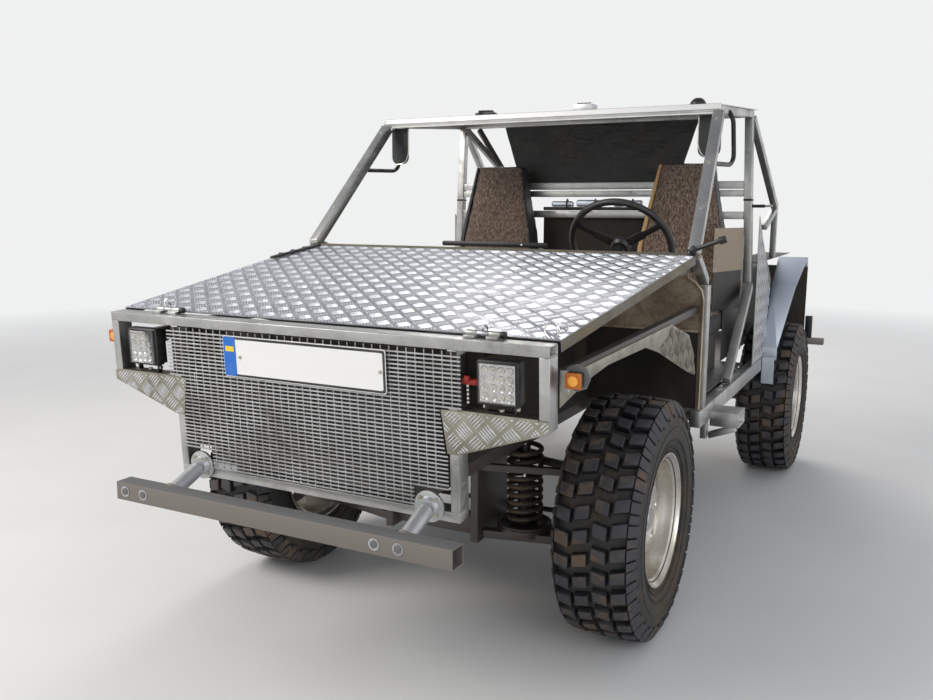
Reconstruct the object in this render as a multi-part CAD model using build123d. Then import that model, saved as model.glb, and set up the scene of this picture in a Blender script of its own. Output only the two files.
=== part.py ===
from build123d import *
import math
import os

os.makedirs("parts", exist_ok=True)

# Home-built open buggy, millimetres.
# X is the vehicle's left, Y runs rearwards from the front face of the front frame, Z is up from the ground.
# Every piece is shifted along Y when it is written, so that the origin is the middle of the footprint.

# Overall
BUMPER_FRONT = -157.0
REAR_BUMPER_BACK = 3340.0
Y_MID = (BUMPER_FRONT + REAR_BUMPER_BACK) / 2
FIT = 0.3
SHEET = 3.0

# Wheels and axles
TYRE_R = 376.0
TYRE_HALF = 130.0
CROWN_HALF = 106.0
LUG_ROWS = 20
LUG_DEPTH = 18.0
GROOVE_FLOOR = 44.0
GROOVE_TOP = 56.0
RIM_R = 190.0
RIM_WALL = 9.0
FLANGE_R = 208.0
RIM_HALF = 112.0
RIM_LIP = 8.0
DISC_X = 26.0
DISC_T = 7.0
HUB_R = 46.0
WHEEL_HOLES = 8
WHEEL_HOLE_R = 19.0
WHEEL_HOLE_RING = 128.0
AXLE_Z = TYRE_R
FRONT_AXLE_Y = 796.0
REAR_AXLE_Y = 2891.0
FRONT_WHEEL_X = 646.0
REAR_WHEEL_X = 765.0
SPINDLE_R = 20.0
BORE_CLEAR = 0.5
KINGPIN_X = 552.0
ARM_BALL_DZ = 115.0

# Front frame
FRONT_HALF = 692.0
TUBE_W = 26.0
TUBE_D = 50.0
RAIL_TOP = 1022.0
SHELF_Z = 849.0
POST_FOOT = 821.0
LEAN = 3.0
LOW_X0 = 432.0
LOW_X1 = 456.0
LOW_Z = 563.0
GRILLE_TOP_HALF = 470.0
GRILLE_T = 6.0
SLAT_PITCH = 10.4
SLAT_H = 4.6
RIBS_EACH_SIDE = 6
RIB_W = 3.0
POCKET = 60.0
TUBE_WALL = 3.0

# Chassis
RAIL_X0 = 250.0
RAIL_X1 = 300.0
RAIL_Z0 = 563.0
RAIL_Z1 = 633.0
RAIL_END = REAR_BUMPER_BACK - 40.0 - FIT
FLOOR_Z = RAIL_Z1 + FIT

TOWER_X = 178.0
TOWER_W = 28.0
TOWER_Z0 = 235.0
SPRING_X = 290.0
SPRING_R = 56.0
SPRING_WIRE = 15.0
SHOCK_R = 24.0
SPRING_TURNS = 6
REAR_SPRING_TURNS = 3
DISH_R = 90.0

# Bonnet
BONNET_FRONT_Y = 58.0
BONNET_REAR_Y = 1037.0
BONNET_FRONT_Z = 1030.0
BONNET_REAR_Z = 1176.0
BONNET_FRONT_HALF = 697.0
BONNET_REAR_HALF = 764.0
LIP_H = 28.0
HINGE_Y = 47.0
HINGE_Z = 1034.0
HINGE_R = 8.0
HINGE_X = 506.0
HINGE_LONG = 90.0
KNUCKLE_HALF = HINGE_LONG / 6 - FIT / 2

# Cab
SIDE_X = 757.0
SILL_Z1 = 625.0
SILL_Z0 = 565.0
SILL_W = 40.0
SILL_FRONT_Y = 1245.0
SILL_REAR_Y = 2505.0
STEP_X = 860.0
FIREWALL_Y = 1225.0
COWL_TOP = 1166.0
SCREEN_RAIL_TOP = 1182.0
PILLAR_BASE = (752.0, 1078.0, 1198.0)
PILLAR_TOP = (709.0, 1535.5, 1662.5)
PILLAR_W = 38.0
ROOF_FRONT_Y = 1550.0
ROOF_FRONT_Z = 1693.0
ROOF_REAR_Y = 2225.0
ROOF_REAR_Z = 1739.0
ROOF_HALF = 724.0
ROOF_TUBE = 28.0
HEADER_D = 15.0
BPOST_TOP_X = 693.0
BPOST_LOW_X = 722.0
BPOST_LOW_Z = 1000.0
BPOST_W = 34.0

# Seats
SEAT_LEFT_X = 460.0
SEAT_RIGHT_X = -437.0
SEAT_HALF = 200.0
CUSHION_Z0 = 790.0
CUSHION_Z1 = 890.0
CUSHION_Y0 = 1590.0
CUSHION_Y1 = 2126.0
BACK_Y = 2030.0
BACK_TOP = 1530.0
BACK_LEAN = 6.0
BACK_WAIST_Z = 1160.0
BACK_REAR_Y = 2200.0
SHOULDER_HALF = 123.0

# Steering
WHEEL_HUB = (390.0, 1440.0, 1185.0)
WHEEL_TILT = 32.0
WHEEL_R = 205.0
WHEEL_RIM = 27.0
WHEEL_SIDES = 20
COLUMN_R = 22.0
ARM_TIP = (528.0, 926.0)
ROD_Z = 296.0
STEER_ARM_Z = 318.0
ROD_R = 9.0

# Rear body
REAR_HALF = 850.0
TUB_X = 612.0
TUB_TOP = 1087.0
TUB_FRONT_Y = 2262.0
TAIL_Y = 3283.0
TAIL_TOP = 1018.0
REAR_BUMPER_HALF = 951.0
REAR_BUMPER_Z0 = 590.0
REAR_BUMPER_Z1 = 625.0


def box(x0, x1, y0, y1, z0, z1):
    return Pos((x0 + x1) / 2, (y0 + y1) / 2, (z0 + z1) / 2) * Box(x1 - x0, y1 - y0, z1 - z0)


def along(p, q):
    direction = Vector(*q) - Vector(*p)
    side = direction.cross(Vector(0, 0, 1))
    if side.length < 1e-6 * direction.length:
        side = Vector(1, 0, 0)
    return Plane(origin=p, x_dir=side.normalized(), z_dir=direction.normalized()), direction.length


def bar(p, q, w, h):
    plane, length = along(p, q)
    return extrude(plane * Rectangle(w, h), length)


def rod(p, q, r, sides=12):
    plane, length = along(p, q)
    return extrude(plane * RegularPolygon(r, sides, major_radius=False), length)


def shaft(x0, x1, y, z, r):
    return Pos((x0 + x1) / 2, y, z) * (Rot(0, 90, 0) * Cylinder(r, abs(x1 - x0)))


def side_plate(points, x0, x1):
    face = make_face(Plane.YZ * Polyline(*points, close=True))
    return Pos(x0, 0, 0) * extrude(face, x1 - x0, dir=(1, 0, 0))


def front_plate(points, y0, y1):
    face = make_face(Plane.XZ * Polyline(*points, close=True))
    return Pos(0, y0, 0) * extrude(face, y1 - y0, dir=(0, 1, 0))


def flat_plate(points, z0, z1):
    return Pos(0, 0, z0) * extrude(make_face(Polyline(*points, close=True)), z1 - z0, dir=(0, 0, 1))


def other_side(shape):
    return mirror(shape, about=Plane.YZ)


def both(*shapes):
    out = []
    for shape in shapes:
        out.append(shape)
        out.append(other_side(shape))
    return out


def joined(*shapes):
    return shapes[0].fuse(*shapes[1:]).clean() if len(shapes) > 1 else shapes[0]


def pocket(shape, *cuts):
    for cut in cuts:
        shape = shape - cut
    return shape


def lean(shape):
    return shape.rotate(Axis((0, 0, RAIL_TOP), (1, 0, 0)), LEAN)


def solids(shapes):
    found = []
    for shape in shapes:
        found.extend(shape.solids())
    return found


def save(name, shapes):
    if not isinstance(shapes, list):
        shapes = [shapes]
    pieces = [Pos(0, -Y_MID, 0) * s for s in solids(shapes)]
    export_step(pieces[0] if len(pieces) == 1 else Compound(children=pieces), f"parts/{name}.step")


# Ring of flat sides about the X axis
# One side's section, as places and radii, is cut to its wedge and turned round
def ring_of_flats(section, sides):
    reach = max(radius for place, radius in section) * 1.05
    half = reach * math.tan(math.pi / sides)
    x0 = min(place for place, radius in section) - 1
    x1 = max(place for place, radius in section) + 1
    wedge = side_plate([(0, 0), (half, reach), (-half, reach)], x0, x1)
    one = front_plate(section, -half, half) & wedge
    return joined(*[Rot(360.0 * k / sides, 0, 0) * one for k in range(sides)])


# Front frame: top rail, outer posts, inner posts, gusset struts and bottom rail, leaning back
rail_z0 = RAIL_TOP - TUBE_W
rail_hollow = both(
    box(
        FRONT_HALF - POCKET, FRONT_HALF + 1,
        TUBE_WALL, TUBE_D - TUBE_WALL,
        rail_z0 + TUBE_WALL, RAIL_TOP - TUBE_WALL,
    )
)
front_frame = [pocket(box(-FRONT_HALF, FRONT_HALF, 0, TUBE_D, rail_z0, RAIL_TOP), *rail_hollow)]
strut_x0 = LOW_X1 + FIT
strut_x1 = FRONT_HALF - TUBE_W - FIT
front_frame += both(
    box(FRONT_HALF - TUBE_W, FRONT_HALF, 0, TUBE_D, POST_FOOT, rail_z0 - FIT),
    box(LOW_X0, LOW_X1, 0, TUBE_D, LOW_Z + TUBE_W + FIT, rail_z0 - FIT),
    front_plate([(strut_x0, 744), (strut_x1, 823), (strut_x1, 847), (strut_x0, 768)], 4, TUBE_D - 4),
)
front_frame.append(box(-LOW_X1, LOW_X1, 0, TUBE_D, LOW_Z, LOW_Z + TUBE_W))
front_frame = [lean(s) for s in front_frame]
for side in (-1, 1):
    for k in (-1, 1):
        x = side * HINGE_X + k * HINGE_LONG / 3
        x0 = x - KNUCKLE_HALF
        x1 = x + KNUCKLE_HALF
        knuckle = rod((x0, HINGE_Y, HINGE_Z), (x1, HINGE_Y, HINGE_Z), HINGE_R, 10)
        leaf = box(x0, x1, HINGE_Y - 22, HINGE_Y - 2, RAIL_TOP + 1.4, HINGE_Z - 3)
        front_frame.append(joined(knuckle, leaf))
save("front_frame", front_frame)

# Gusset plates under the lamps
gusset = front_plate(
    [(412, SHELF_Z), (FRONT_HALF, SHELF_Z), (FRONT_HALF, POST_FOOT), (458, 740), (428, 740)],
    -FIT - SHEET,
    -FIT,
)
shelf = box(LOW_X1 + 1, FRONT_HALF - TUBE_W - 1, 0, 40, SHELF_Z, SHELF_Z + SHEET)
shelf_lip = box(GRILLE_TOP_HALF + 4, FRONT_HALF - TUBE_W - 1, -FIT - SHEET, 0, SHELF_Z, SHELF_Z + SHEET)
save("lamp_gussets", [lean(s) for s in both(joined(gusset, shelf_lip, shelf))])

# Grille: flat slats across upright ribs, wide above the gussets and narrow at the foot
# Steps of its outline: lowest height, highest height, half width at each
GRILLE_STEPS = (
    (LOW_Z + 28, 642.0, 332.0, 332.0),
    (642.0, 738.0, 430.0, 430.0),
    (738.0, SHELF_Z + 2, 424.0, 409.0),
    (SHELF_Z + 2, 995.0, GRILLE_TOP_HALF, GRILLE_TOP_HALF),
)
rib_y0 = -FIT - GRILLE_T / 2
slat_y0 = -FIT - GRILLE_T
slat_y1 = rib_y0 - FIT
grille = []
for low, high, half_low, half_high in GRILLE_STEPS:
    slats = int((high - low) / SLAT_PITCH)
    for k in range(slats):
        z = low + (k + 0.5) * (high - low) / slats
        half = half_low + (half_high - half_low) * (z - low) / (high - low)
        grille.append(box(-half, half, slat_y0, slat_y1, z - SLAT_H / 2, z + SLAT_H / 2))
for k in range(-RIBS_EACH_SIDE, RIBS_EACH_SIDE + 1):
    x = k * (LOW_X0 + LOW_X1) / 2 / RIBS_EACH_SIDE
    reached = [step for step in GRILLE_STEPS if min(step[2], step[3]) > abs(x) + RIB_W]
    grille.append(box(x - RIB_W / 2, x + RIB_W / 2, rib_y0, -FIT, reached[0][0] + 2, reached[-1][1] - 2))
save("grille", [lean(s) for s in grille])

# Blank number plate on four spacers
plate_y = -FIT - GRILLE_T
SPACER = 8.0
number_plate = box(8 - 260, 8 + 260, plate_y - 8, plate_y - 6, 873, 985)
for x in (-200, 216):
    for z in (900, 958):
        spacer = box(x - SPACER, x + SPACER, plate_y - 6, plate_y - FIT, z - SPACER, z + SPACER)
        number_plate = joined(number_plate, spacer)
save("number_plate", lean(number_plate))

# Bumper tube with open ends, on two sloping pipes with round flanges
BUMPER_HALF = 530.0
BUMPER_D = 57.0
BUMPER_Z0 = 522.0
BUMPER_Z1 = 573.0
PIPE_X = 374.0
PIPE_R = 20.0
FLANGE_Z = 598.0
PIPE_FLANGE_R = 40.0
bumper_hollow = both(
    box(
        BUMPER_HALF - POCKET, BUMPER_HALF + 1,
        BUMPER_FRONT + TUBE_WALL, BUMPER_FRONT + BUMPER_D - TUBE_WALL,
        BUMPER_Z0 + TUBE_WALL, BUMPER_Z1 - TUBE_WALL,
    )
)
bar_body = box(-BUMPER_HALF, BUMPER_HALF, BUMPER_FRONT, BUMPER_FRONT + BUMPER_D, BUMPER_Z0, BUMPER_Z1)
bumper = [pocket(bar_body, *bumper_hollow)]
for x in (-PIPE_X, PIPE_X):
    flange = lean(rod((x, -FIT - 9, FLANGE_Z), (x, -FIT, FLANGE_Z), PIPE_FLANGE_R, 16))
    pipe = rod((x, 12, FLANGE_Z - 2), (x, BUMPER_FRONT + BUMPER_D + 3, 552), PIPE_R)
    bumper.append(joined(flange, pipe))
save("bumper", bumper)

# Lamps: square front lamps with a recessed face, fins and a forked foot; turn lamps; rear lamps
LAMP_X = 566.0
LAMP_HALF = 54.0
LAMP_Z0 = 874.0
LAMP_FRONT = -8.0
LAMP_BACK = 34.0
LAMP_BEZEL = 7.0
lamp_z1 = LAMP_Z0 + 2 * LAMP_HALF
fin_gaps = [
    box(x - 4, x + 4, LAMP_BACK - 12, LAMP_BACK + 1, LAMP_Z0 - 1, lamp_z1 + 1) for x in (-36, -12, 12, 36)
]
lamp = pocket(
    box(-LAMP_HALF, LAMP_HALF, LAMP_FRONT, LAMP_BACK, LAMP_Z0, lamp_z1),
    box(
        -LAMP_HALF + LAMP_BEZEL, LAMP_HALF - LAMP_BEZEL,
        LAMP_FRONT - 1, LAMP_FRONT + 5,
        LAMP_Z0 + LAMP_BEZEL, lamp_z1 - LAMP_BEZEL,
    ),
    *fin_gaps,
)
foot = joined(
    box(-LAMP_HALF + 14, LAMP_HALF - 14, 6, 22, SHELF_Z + SHEET + FIT, SHELF_Z + SHEET + 5),
    box(-LAMP_HALF + 14, -LAMP_HALF + 19, 6, 22, SHELF_Z + SHEET + FIT, LAMP_Z0),
    box(LAMP_HALF - 19, LAMP_HALF - 14, 6, 22, SHELF_Z + SHEET + FIT, LAMP_Z0),
)
TURN_X0 = FRONT_HALF + 21.0
TURN_X1 = TURN_X0 + 40.0
turn = joined(box(FRONT_HALF + FIT, TURN_X0, 40, 56, 930, 950), box(TURN_X0, TURN_X1, 34, 74, 921, 959))
lights = [lean(Pos(side * LAMP_X, 0, 0) * joined(lamp, foot)) for side in (-1, 1)]
lights += [lean(s) for s in both(turn)]
lights += both(
    box(
        REAR_HALF + 1, REAR_HALF + 37,
        REAR_BUMPER_BACK - 38, REAR_BUMPER_BACK - 4,
        REAR_BUMPER_Z1 + FIT, 745,
    )
)
save("lights", lights)

# Radiator block behind the grille
save("radiator", box(-300, 300, 62, 122, RAIL_Z1 + FIT, 985))

# Chassis: two rails, cross members, front towers and rear spring seats
rails = both(box(RAIL_X0, RAIL_X1, 74.3, RAIL_END, RAIL_Z0, RAIL_Z1))
# Cross members: front, back, lowest and highest
CROSS_MEMBERS = (
    (110.0, 160.0, RAIL_Z1 - 50, RAIL_Z1 - 3),
    (FRONT_AXLE_Y - 36, FRONT_AXLE_Y + 32, RAIL_Z0 + 5, RAIL_Z1 - 5),
    (1010.0, 1070.0, RAIL_Z1 - 50, RAIL_Z1 - 3),
    (1690.0, 1740.0, RAIL_Z1 - 50, RAIL_Z1 - 3),
    (2400.0, 2450.0, RAIL_Z1 - 50, RAIL_Z1 - 3),
    (RAIL_END - 100, RAIL_END - 50, RAIL_Z1 - 50, RAIL_Z1 - 3),
)
for y0, y1, z0, z1 in CROSS_MEMBERS:
    rails.append(box(-RAIL_X0 + FIT, RAIL_X0 - FIT, y0, y1, z0, z1))
tower_x0 = TOWER_X - TOWER_W
tower = side_plate(
    [
        (FRONT_AXLE_Y - 126, TOWER_Z0), (FRONT_AXLE_Y + 106, TOWER_Z0),
        (FRONT_AXLE_Y + 106, RAIL_Z0 - 60), (FRONT_AXLE_Y + 70, RAIL_Z0 + 5 - FIT),
        (FRONT_AXLE_Y - 90, RAIL_Z0 + 5 - FIT), (FRONT_AXLE_Y - 126, RAIL_Z0 - 60),
    ],
    tower_x0,
    TOWER_X,
)
rails += both(tower)
low_cross = tower_x0 - FIT
rails.append(box(-low_cross, low_cross, FRONT_AXLE_Y - 96, FRONT_AXLE_Y - 36, TOWER_Z0 + 15, TOWER_Z0 + 75))
save("chassis_rails", rails)

# Engine, gearbox and shafts as plain blocks at their real places
drive = [
    box(-190, 190, 300, 830, 640, 985),
    box(-140, 140, 830 + FIT, 900, 500, 800),
    box(-120, 120, 900 + FIT, 1480, 430, RAIL_Z1 - 52),
    rod((0, 1480 + FIT, 470), (0, REAR_AXLE_Y - 160, 385), 35),
    rod((0, REAR_AXLE_Y - 160 + FIT, 385), (0, REAR_AXLE_Y - 116, 380), 45),
]
save("drive_train", drive)

# Front suspension arms
low_z = AXLE_Z - ARM_BALL_DZ
top_z = AXLE_Z + ARM_BALL_DZ
front_arms = []


def arm_start(width, spread):
    angle = math.atan2(spread, KINGPIN_X - TOWER_X)
    return TOWER_X + FIT + width / 2 * math.sin(angle) + 0.1


for side in (-1, 1):
    ball = (side * KINGPIN_X, FRONT_AXLE_Y)
    low_in = side * arm_start(34, 85)
    high_in = side * arm_start(22, 100)
    low = joined(
        bar((low_in, FRONT_AXLE_Y - 85, low_z), (*ball, low_z), 34, 26),
        bar((low_in, FRONT_AXLE_Y + 85, low_z), (*ball, low_z), 34, 26),
        rod((side * SPRING_X, FRONT_AXLE_Y, low_z), (side * SPRING_X, FRONT_AXLE_Y, low_z + 22), DISH_R, 16),
    )
    high = joined(
        bar((high_in, FRONT_AXLE_Y - 100, top_z), (*ball, top_z), 22, 22),
        bar((high_in, FRONT_AXLE_Y + 100, top_z), (*ball, top_z), 22, 22),
    )
    front_arms += [low, high]
save("front_arms", front_arms)

SPRING_Z0 = low_z + 22 + FIT
SPRING_Z1 = RAIL_Z0 - FIT


# Coil spring as straight lengths of wire, eight to a turn, its ends ground flat on the two seats
def coil(x, y, z0, z1, turns):
    radius = SPRING_R - SPRING_WIRE / 2
    half = SPRING_WIRE / 2 - 1
    count = turns * 8
    places = []
    for k in range(count + 1):
        angle = math.radians(90.0 + 45.0 * k)
        z = z0 + half + (z1 - z0 - 2 * half) * k / count
        places.append((x + radius * math.cos(angle), y + radius * math.sin(angle), z))
    wire = sweep(
        along(places[0], places[1])[0] * Rectangle(2 * half, 2 * half),
        path=Polyline(*places),
        transition=Transition.RIGHT,
    )
    room = 2 * SPRING_R
    return wire & box(x - room, x + room, y - room, y + room, z0, z1)


springs = []
shocks = []
for x in (-SPRING_X, SPRING_X):
    springs.append(coil(x, FRONT_AXLE_Y, SPRING_Z0, SPRING_Z1, SPRING_TURNS))
    shocks.append(rod((x, FRONT_AXLE_Y, SPRING_Z0), (x, FRONT_AXLE_Y, SPRING_Z1), SHOCK_R))
save("front_springs", springs)
save("front_shocks", shocks)

# Side rails under the bonnet's edge and the torn wing skirts
EDGE_RAIL_W = 24.0
EDGE_RAIL_FRONT = (680.0, 58.0, 940.0)
EDGE_RAIL_REAR = (728.0, FIREWALL_Y - FIT, 985.0)
wing_turn = math.atan2(EDGE_RAIL_REAR[0] - EDGE_RAIL_FRONT[0], EDGE_RAIL_REAR[1] - EDGE_RAIL_FRONT[1])
side_rails = both(bar(EDGE_RAIL_FRONT, EDGE_RAIL_REAR, EDGE_RAIL_W, EDGE_RAIL_W))
save("side_rails", [s - box(-800, 800, FIREWALL_Y - FIT, FIREWALL_Y + 40, 900, 1050) for s in side_rails])
wing = side_plate(
    [
        (62, 940), (904, 970), (1106, 912), (1170, 845), (1196, 762), (1100, 790), (782, 900),
        (663, 930), (363, 926), (233, 910), (62, 872),
    ],
    0,
    SHEET,
)
wing_x = EDGE_RAIL_FRONT[0] + EDGE_RAIL_W / 2 / math.cos(wing_turn) + FIT
wing = Pos(wing_x, 58, 0) * (Rot(0, 0, -math.degrees(wing_turn)) * (Pos(0, -58, 0) * wing))
save("front_wings", both(wing))

# Firewall pressed as a tray with a turned rim, aprons, cowl box and screen rail
FIREWALL_RIM = 14.0
FIREWALL_FOOT = FLOOR_Z + SHEET + FIT
FIREWALL_TOP = 1110.0


def firewall_outline(inset, foot):
    edge = SIDE_X - inset
    right = [
        (edge, foot), (edge, 1020), (edge - 8, 1052), (edge - 30, 1078 - inset),
        (edge - 57, 1093 - inset), (edge - 57, FIREWALL_TOP - inset),
    ]
    return right + [(-x, z) for x, z in reversed(right)]


firewall = [
    pocket(
        front_plate(firewall_outline(0, FIREWALL_FOOT), FIREWALL_Y - FIREWALL_RIM, FIREWALL_Y + SHEET),
        front_plate(firewall_outline(SHEET, FIREWALL_FOOT - 1), FIREWALL_Y - FIREWALL_RIM - 1, FIREWALL_Y),
    ),
    box(-715, 715, 1050, FIREWALL_Y + SHEET, FIREWALL_TOP + FIT, COWL_TOP),
    box(-770, 770, 1052, 1090, COWL_TOP + FIT, SCREEN_RAIL_TOP),
]
APRON_X = 345.0
apron = side_plate(
    [(70, RAIL_Z1 + FIT), (FIREWALL_Y - FIT, RAIL_Z1 + FIT), (FIREWALL_Y - FIT, 960), (700, 925), (70, 905)],
    APRON_X,
    APRON_X + 2,
)
firewall += both(apron)
save("firewall", firewall)

# Floor sheet
save("floor", box(-714, 714, FIREWALL_Y, TUB_FRONT_Y - 4, FLOOR_Z, FLOOR_Z + SHEET))

# Sills with cross tubes, step stubs, struts and hangers
sills = both(
    box(SIDE_X - SILL_W, SIDE_X, SILL_FRONT_Y, SILL_REAR_Y, SILL_Z0, SILL_Z1),
    box(RAIL_X1 + FIT, SIDE_X - SILL_W - FIT, 1300, 1340, SILL_Z0 + 10, SILL_Z1 - 5),
    box(RAIL_X1 + FIT, SIDE_X - SILL_W - FIT, 2180, 2220, SILL_Z0 + 10, SILL_Z1 - 5),
    pocket(
        box(SIDE_X + FIT, STEP_X, 1400, 1520, SILL_Z0 - 25, SILL_Z1 - 30),
        box(STEP_X - POCKET, STEP_X + 1, 1400 + TUBE_WALL, 1520 - TUBE_WALL, SILL_Z0 - 22, SILL_Z1 - 33),
    ),
    bar((840, 1460, SILL_Z0 - 38), (743, 1460, 490), 24, 24),
    box(715, 738, 1440, 1480, 478, SILL_Z0 - FIT),
)
save("sills", sills)

# Cab frame: screen pillars, door posts, header, roof rails, rear posts with braces and cross bars
POST_TOP_Z = ROOF_REAR_Z - ROOF_TUBE - 1.0
post_slope = (BPOST_LOW_X - BPOST_TOP_X) / (POST_TOP_Z - BPOST_LOW_Z)
roof_rise = (ROOF_REAR_Z - ROOF_FRONT_Z) / (ROOF_REAR_Y - ROOF_FRONT_Y)
half_tube = ROOF_TUBE / 2
pillar_run = Vector(*PILLAR_TOP) - Vector(*PILLAR_BASE)
pillar_foot = Vector(*PILLAR_BASE) - pillar_run * 0.06
pillar = bar(tuple(pillar_foot), PILLAR_TOP, PILLAR_W, PILLAR_W)
pillar = pillar - box(600, 900, 900, 1200, 1000, SCREEN_RAIL_TOP + FIT)
pillar = pillar - box(600, 900, 900, 1052, 1000, 1250)
cab = both(
    pillar,
    box(SIDE_X - 42, SIDE_X - 2, 1290, 1330, SILL_Z1 + FIT, 1060),
    bar((746, 1098, 1176), (SIDE_X - 22, 1304, 1074.2), 34, 30),
    bar(
        (712, ROOF_FRONT_Y + 16.5, ROOF_FRONT_Z - half_tube + 1),
        (697, ROOF_REAR_Y - 16.5, ROOF_REAR_Z - half_tube - 1),
        26,
        ROOF_TUBE,
    ),
    bar((BPOST_TOP_X, ROOF_REAR_Y, POST_TOP_Z), (BPOST_LOW_X, ROOF_REAR_Y, BPOST_LOW_Z), BPOST_W, BPOST_W),
    bar((SIDE_X - 25, 2206, 990), (SIDE_X - 20, 1775, SILL_Z1 + 14), 34, 34),
)
header_half = ROOF_HALF + 2
header_y = (ROOF_FRONT_Y - HEADER_D, ROOF_FRONT_Y + HEADER_D)
cab.append(box(-header_half, header_half, *header_y, ROOF_FRONT_Z - ROOF_TUBE, ROOF_FRONT_Z))
header_y = (ROOF_REAR_Y - HEADER_D, ROOF_REAR_Y + HEADER_D)
cab.append(box(-ROOF_HALF + 14, ROOF_HALF - 14, *header_y, ROOF_REAR_Z - ROOF_TUBE, ROOF_REAR_Z))
# Bars between the rear posts: lowest and highest
for z0, z1 in ((1410, 1443), (1376, 1405), (1278, 1311)):
    reach = BPOST_TOP_X + (POST_TOP_Z - z1) * post_slope - BPOST_W / 2 - FIT - 0.1
    cab.append(box(-reach, reach, ROOF_REAR_Y - 14, ROOF_REAR_Y + 14, z0, z1))
save("cab_frame", cab)

# Roof sheet, clear of the headers' upper corners
roof_y0 = ROOF_FRONT_Y - HEADER_D
roof_y1 = ROOF_REAR_Y + HEADER_D + 5
lift = FIT + HEADER_D * abs(roof_rise) + SHEET / 2 * math.hypot(1, roof_rise)
save(
    "roof_panel",
    bar(
        (0, roof_y0, ROOF_FRONT_Z + lift + (roof_y0 - ROOF_FRONT_Y) * roof_rise),
        (0, roof_y1, ROOF_REAR_Z + lift + (roof_y1 - ROOF_REAR_Y) * roof_rise),
        2 * ROOF_HALF,
        SHEET,
    ),
)

# Rear stays from the roof to the wheel boxes
STAY_X = 746.0
STAY_Y = 2716.0
STAY_Z = 1330.0
stays = both(
    joined(
        bar((700, ROOF_REAR_Y + 30, ROOF_REAR_Z - 28), (STAY_X, STAY_Y, STAY_Z), 28, 28),
        bar((STAY_X, STAY_Y, STAY_Z + 15), (STAY_X, STAY_Y, TUB_TOP + FIT), 26, 26),
        bar((STAY_X, STAY_Y - 6, STAY_Z - 12), (STAY_X, STAY_Y - 286, STAY_Z - 90), 24, 24),
    )
)
save("rear_stays", stays)

# Patterned side panels behind the door openings
panel_y = ROOF_REAR_Y + 21
panel_foot = SILL_Z1 + 2
side_panel = side_plate(
    [(panel_y, 1293), (2389, 1162), (2652, 987), (2560, 690), (2540, panel_foot), (panel_y, panel_foot)],
    SIDE_X - SHEET,
    SIDE_X,
)
side_panels = both(side_panel)
save("side_panels", side_panels)

# Rear tub: inner walls, wheel box tops, floor and tail
tub = both(
    box(TUB_X, TUB_X + 2, TUB_FRONT_Y, TAIL_Y - FIT, FLOOR_Z, TUB_TOP - 2 - FIT),
    box(TUB_X, SIDE_X - SHEET - FIT, TUB_FRONT_Y, TAIL_Y - FIT, TUB_TOP - 2, TUB_TOP),
)
tub.append(box(-TUB_X + FIT, TUB_X - FIT, TUB_FRONT_Y, TAIL_Y - FIT, FLOOR_Z, FLOOR_Z + 3))
tub.append(box(-REAR_HALF, REAR_HALF, TAIL_Y, TAIL_Y + SHEET, RAIL_Z1 + 10, TAIL_TOP))
save("rear_body", tub)


# Bent rear wings over the front of the rear tyres
# Each plate from the axle: start behind and above, end behind and above, outer edge at start and at end
REAR_WING = (
    (-370.0, 240.0, -370.0, 299.0, 821.0, 821.0),
    (-370.0, 298.0, -201.0, 582.0, 821.0, 868.0),
    (-201.0, 582.0, -35.0, 711.0, 868.0, 896.0),
    (-35.0, 711.0, 379.0, 640.0, 896.0, REAR_HALF),
)
wing_plates = []
for y0, z0, y1, z1, edge0, edge1 in REAR_WING:
    run = math.hypot(y1 - y0, z1 - z0)
    in_y = SHEET * (z1 - z0) / run
    in_z = -SHEET * (y1 - y0) / run
    section = [(y0, z0), (y1, z1), (y1 + in_y, z1 + in_z), (y0 + in_y, z0 + in_z)]
    section = [(REAR_AXLE_Y + y, AXLE_Z + z) for y, z in section]
    far_y = max(y1, y0 + 2 * SHEET)
    plan = [(SIDE_X + FIT, y0 - 1), (edge0, y0 - 1), (edge1, far_y + SHEET), (SIDE_X + FIT, far_y + SHEET)]
    plan = [(x, y + REAR_AXLE_Y) for x, y in plan]
    plate = side_plate(section, SIDE_X + FIT, max(edge0, edge1) + 1)
    wing_plates.append(plate & flat_plate(plan, 400, 1300))
save("rear_fenders", both(joined(*wing_plates)))

# Rear bumper
save(
    "rear_bumper",
    box(
        -REAR_BUMPER_HALF, REAR_BUMPER_HALF,
        REAR_BUMPER_BACK - 40, REAR_BUMPER_BACK,
        REAR_BUMPER_Z0, REAR_BUMPER_Z1,
    ),
)


# Seats: cushion and a wedge-shaped back, wide at the waist and narrow at the shoulders
def seat(x):
    cushion = box(x - SEAT_HALF, x + SEAT_HALF, CUSHION_Y0, CUSHION_Y1, CUSHION_Z0, CUSHION_Z1)
    foot = CUSHION_Z1 + FIT
    right = [(SEAT_HALF, foot), (SEAT_HALF, BACK_WAIST_Z), (SHOULDER_HALF, BACK_TOP)]
    across = [(x + dx, z) for dx, z in right] + [(x - dx, z) for dx, z in reversed(right)]
    slope = math.tan(math.radians(BACK_LEAN))
    top_y = BACK_Y + (BACK_TOP - foot) * slope
    profile = [(BACK_Y, foot), (BACK_REAR_Y, foot), (BACK_REAR_Y, BACK_TOP), (top_y, BACK_TOP)]
    back = front_plate(across, BACK_Y - 100, BACK_REAR_Y + 100) & side_plate(profile, x - 300, x + 300)
    return [cushion, back]


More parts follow.
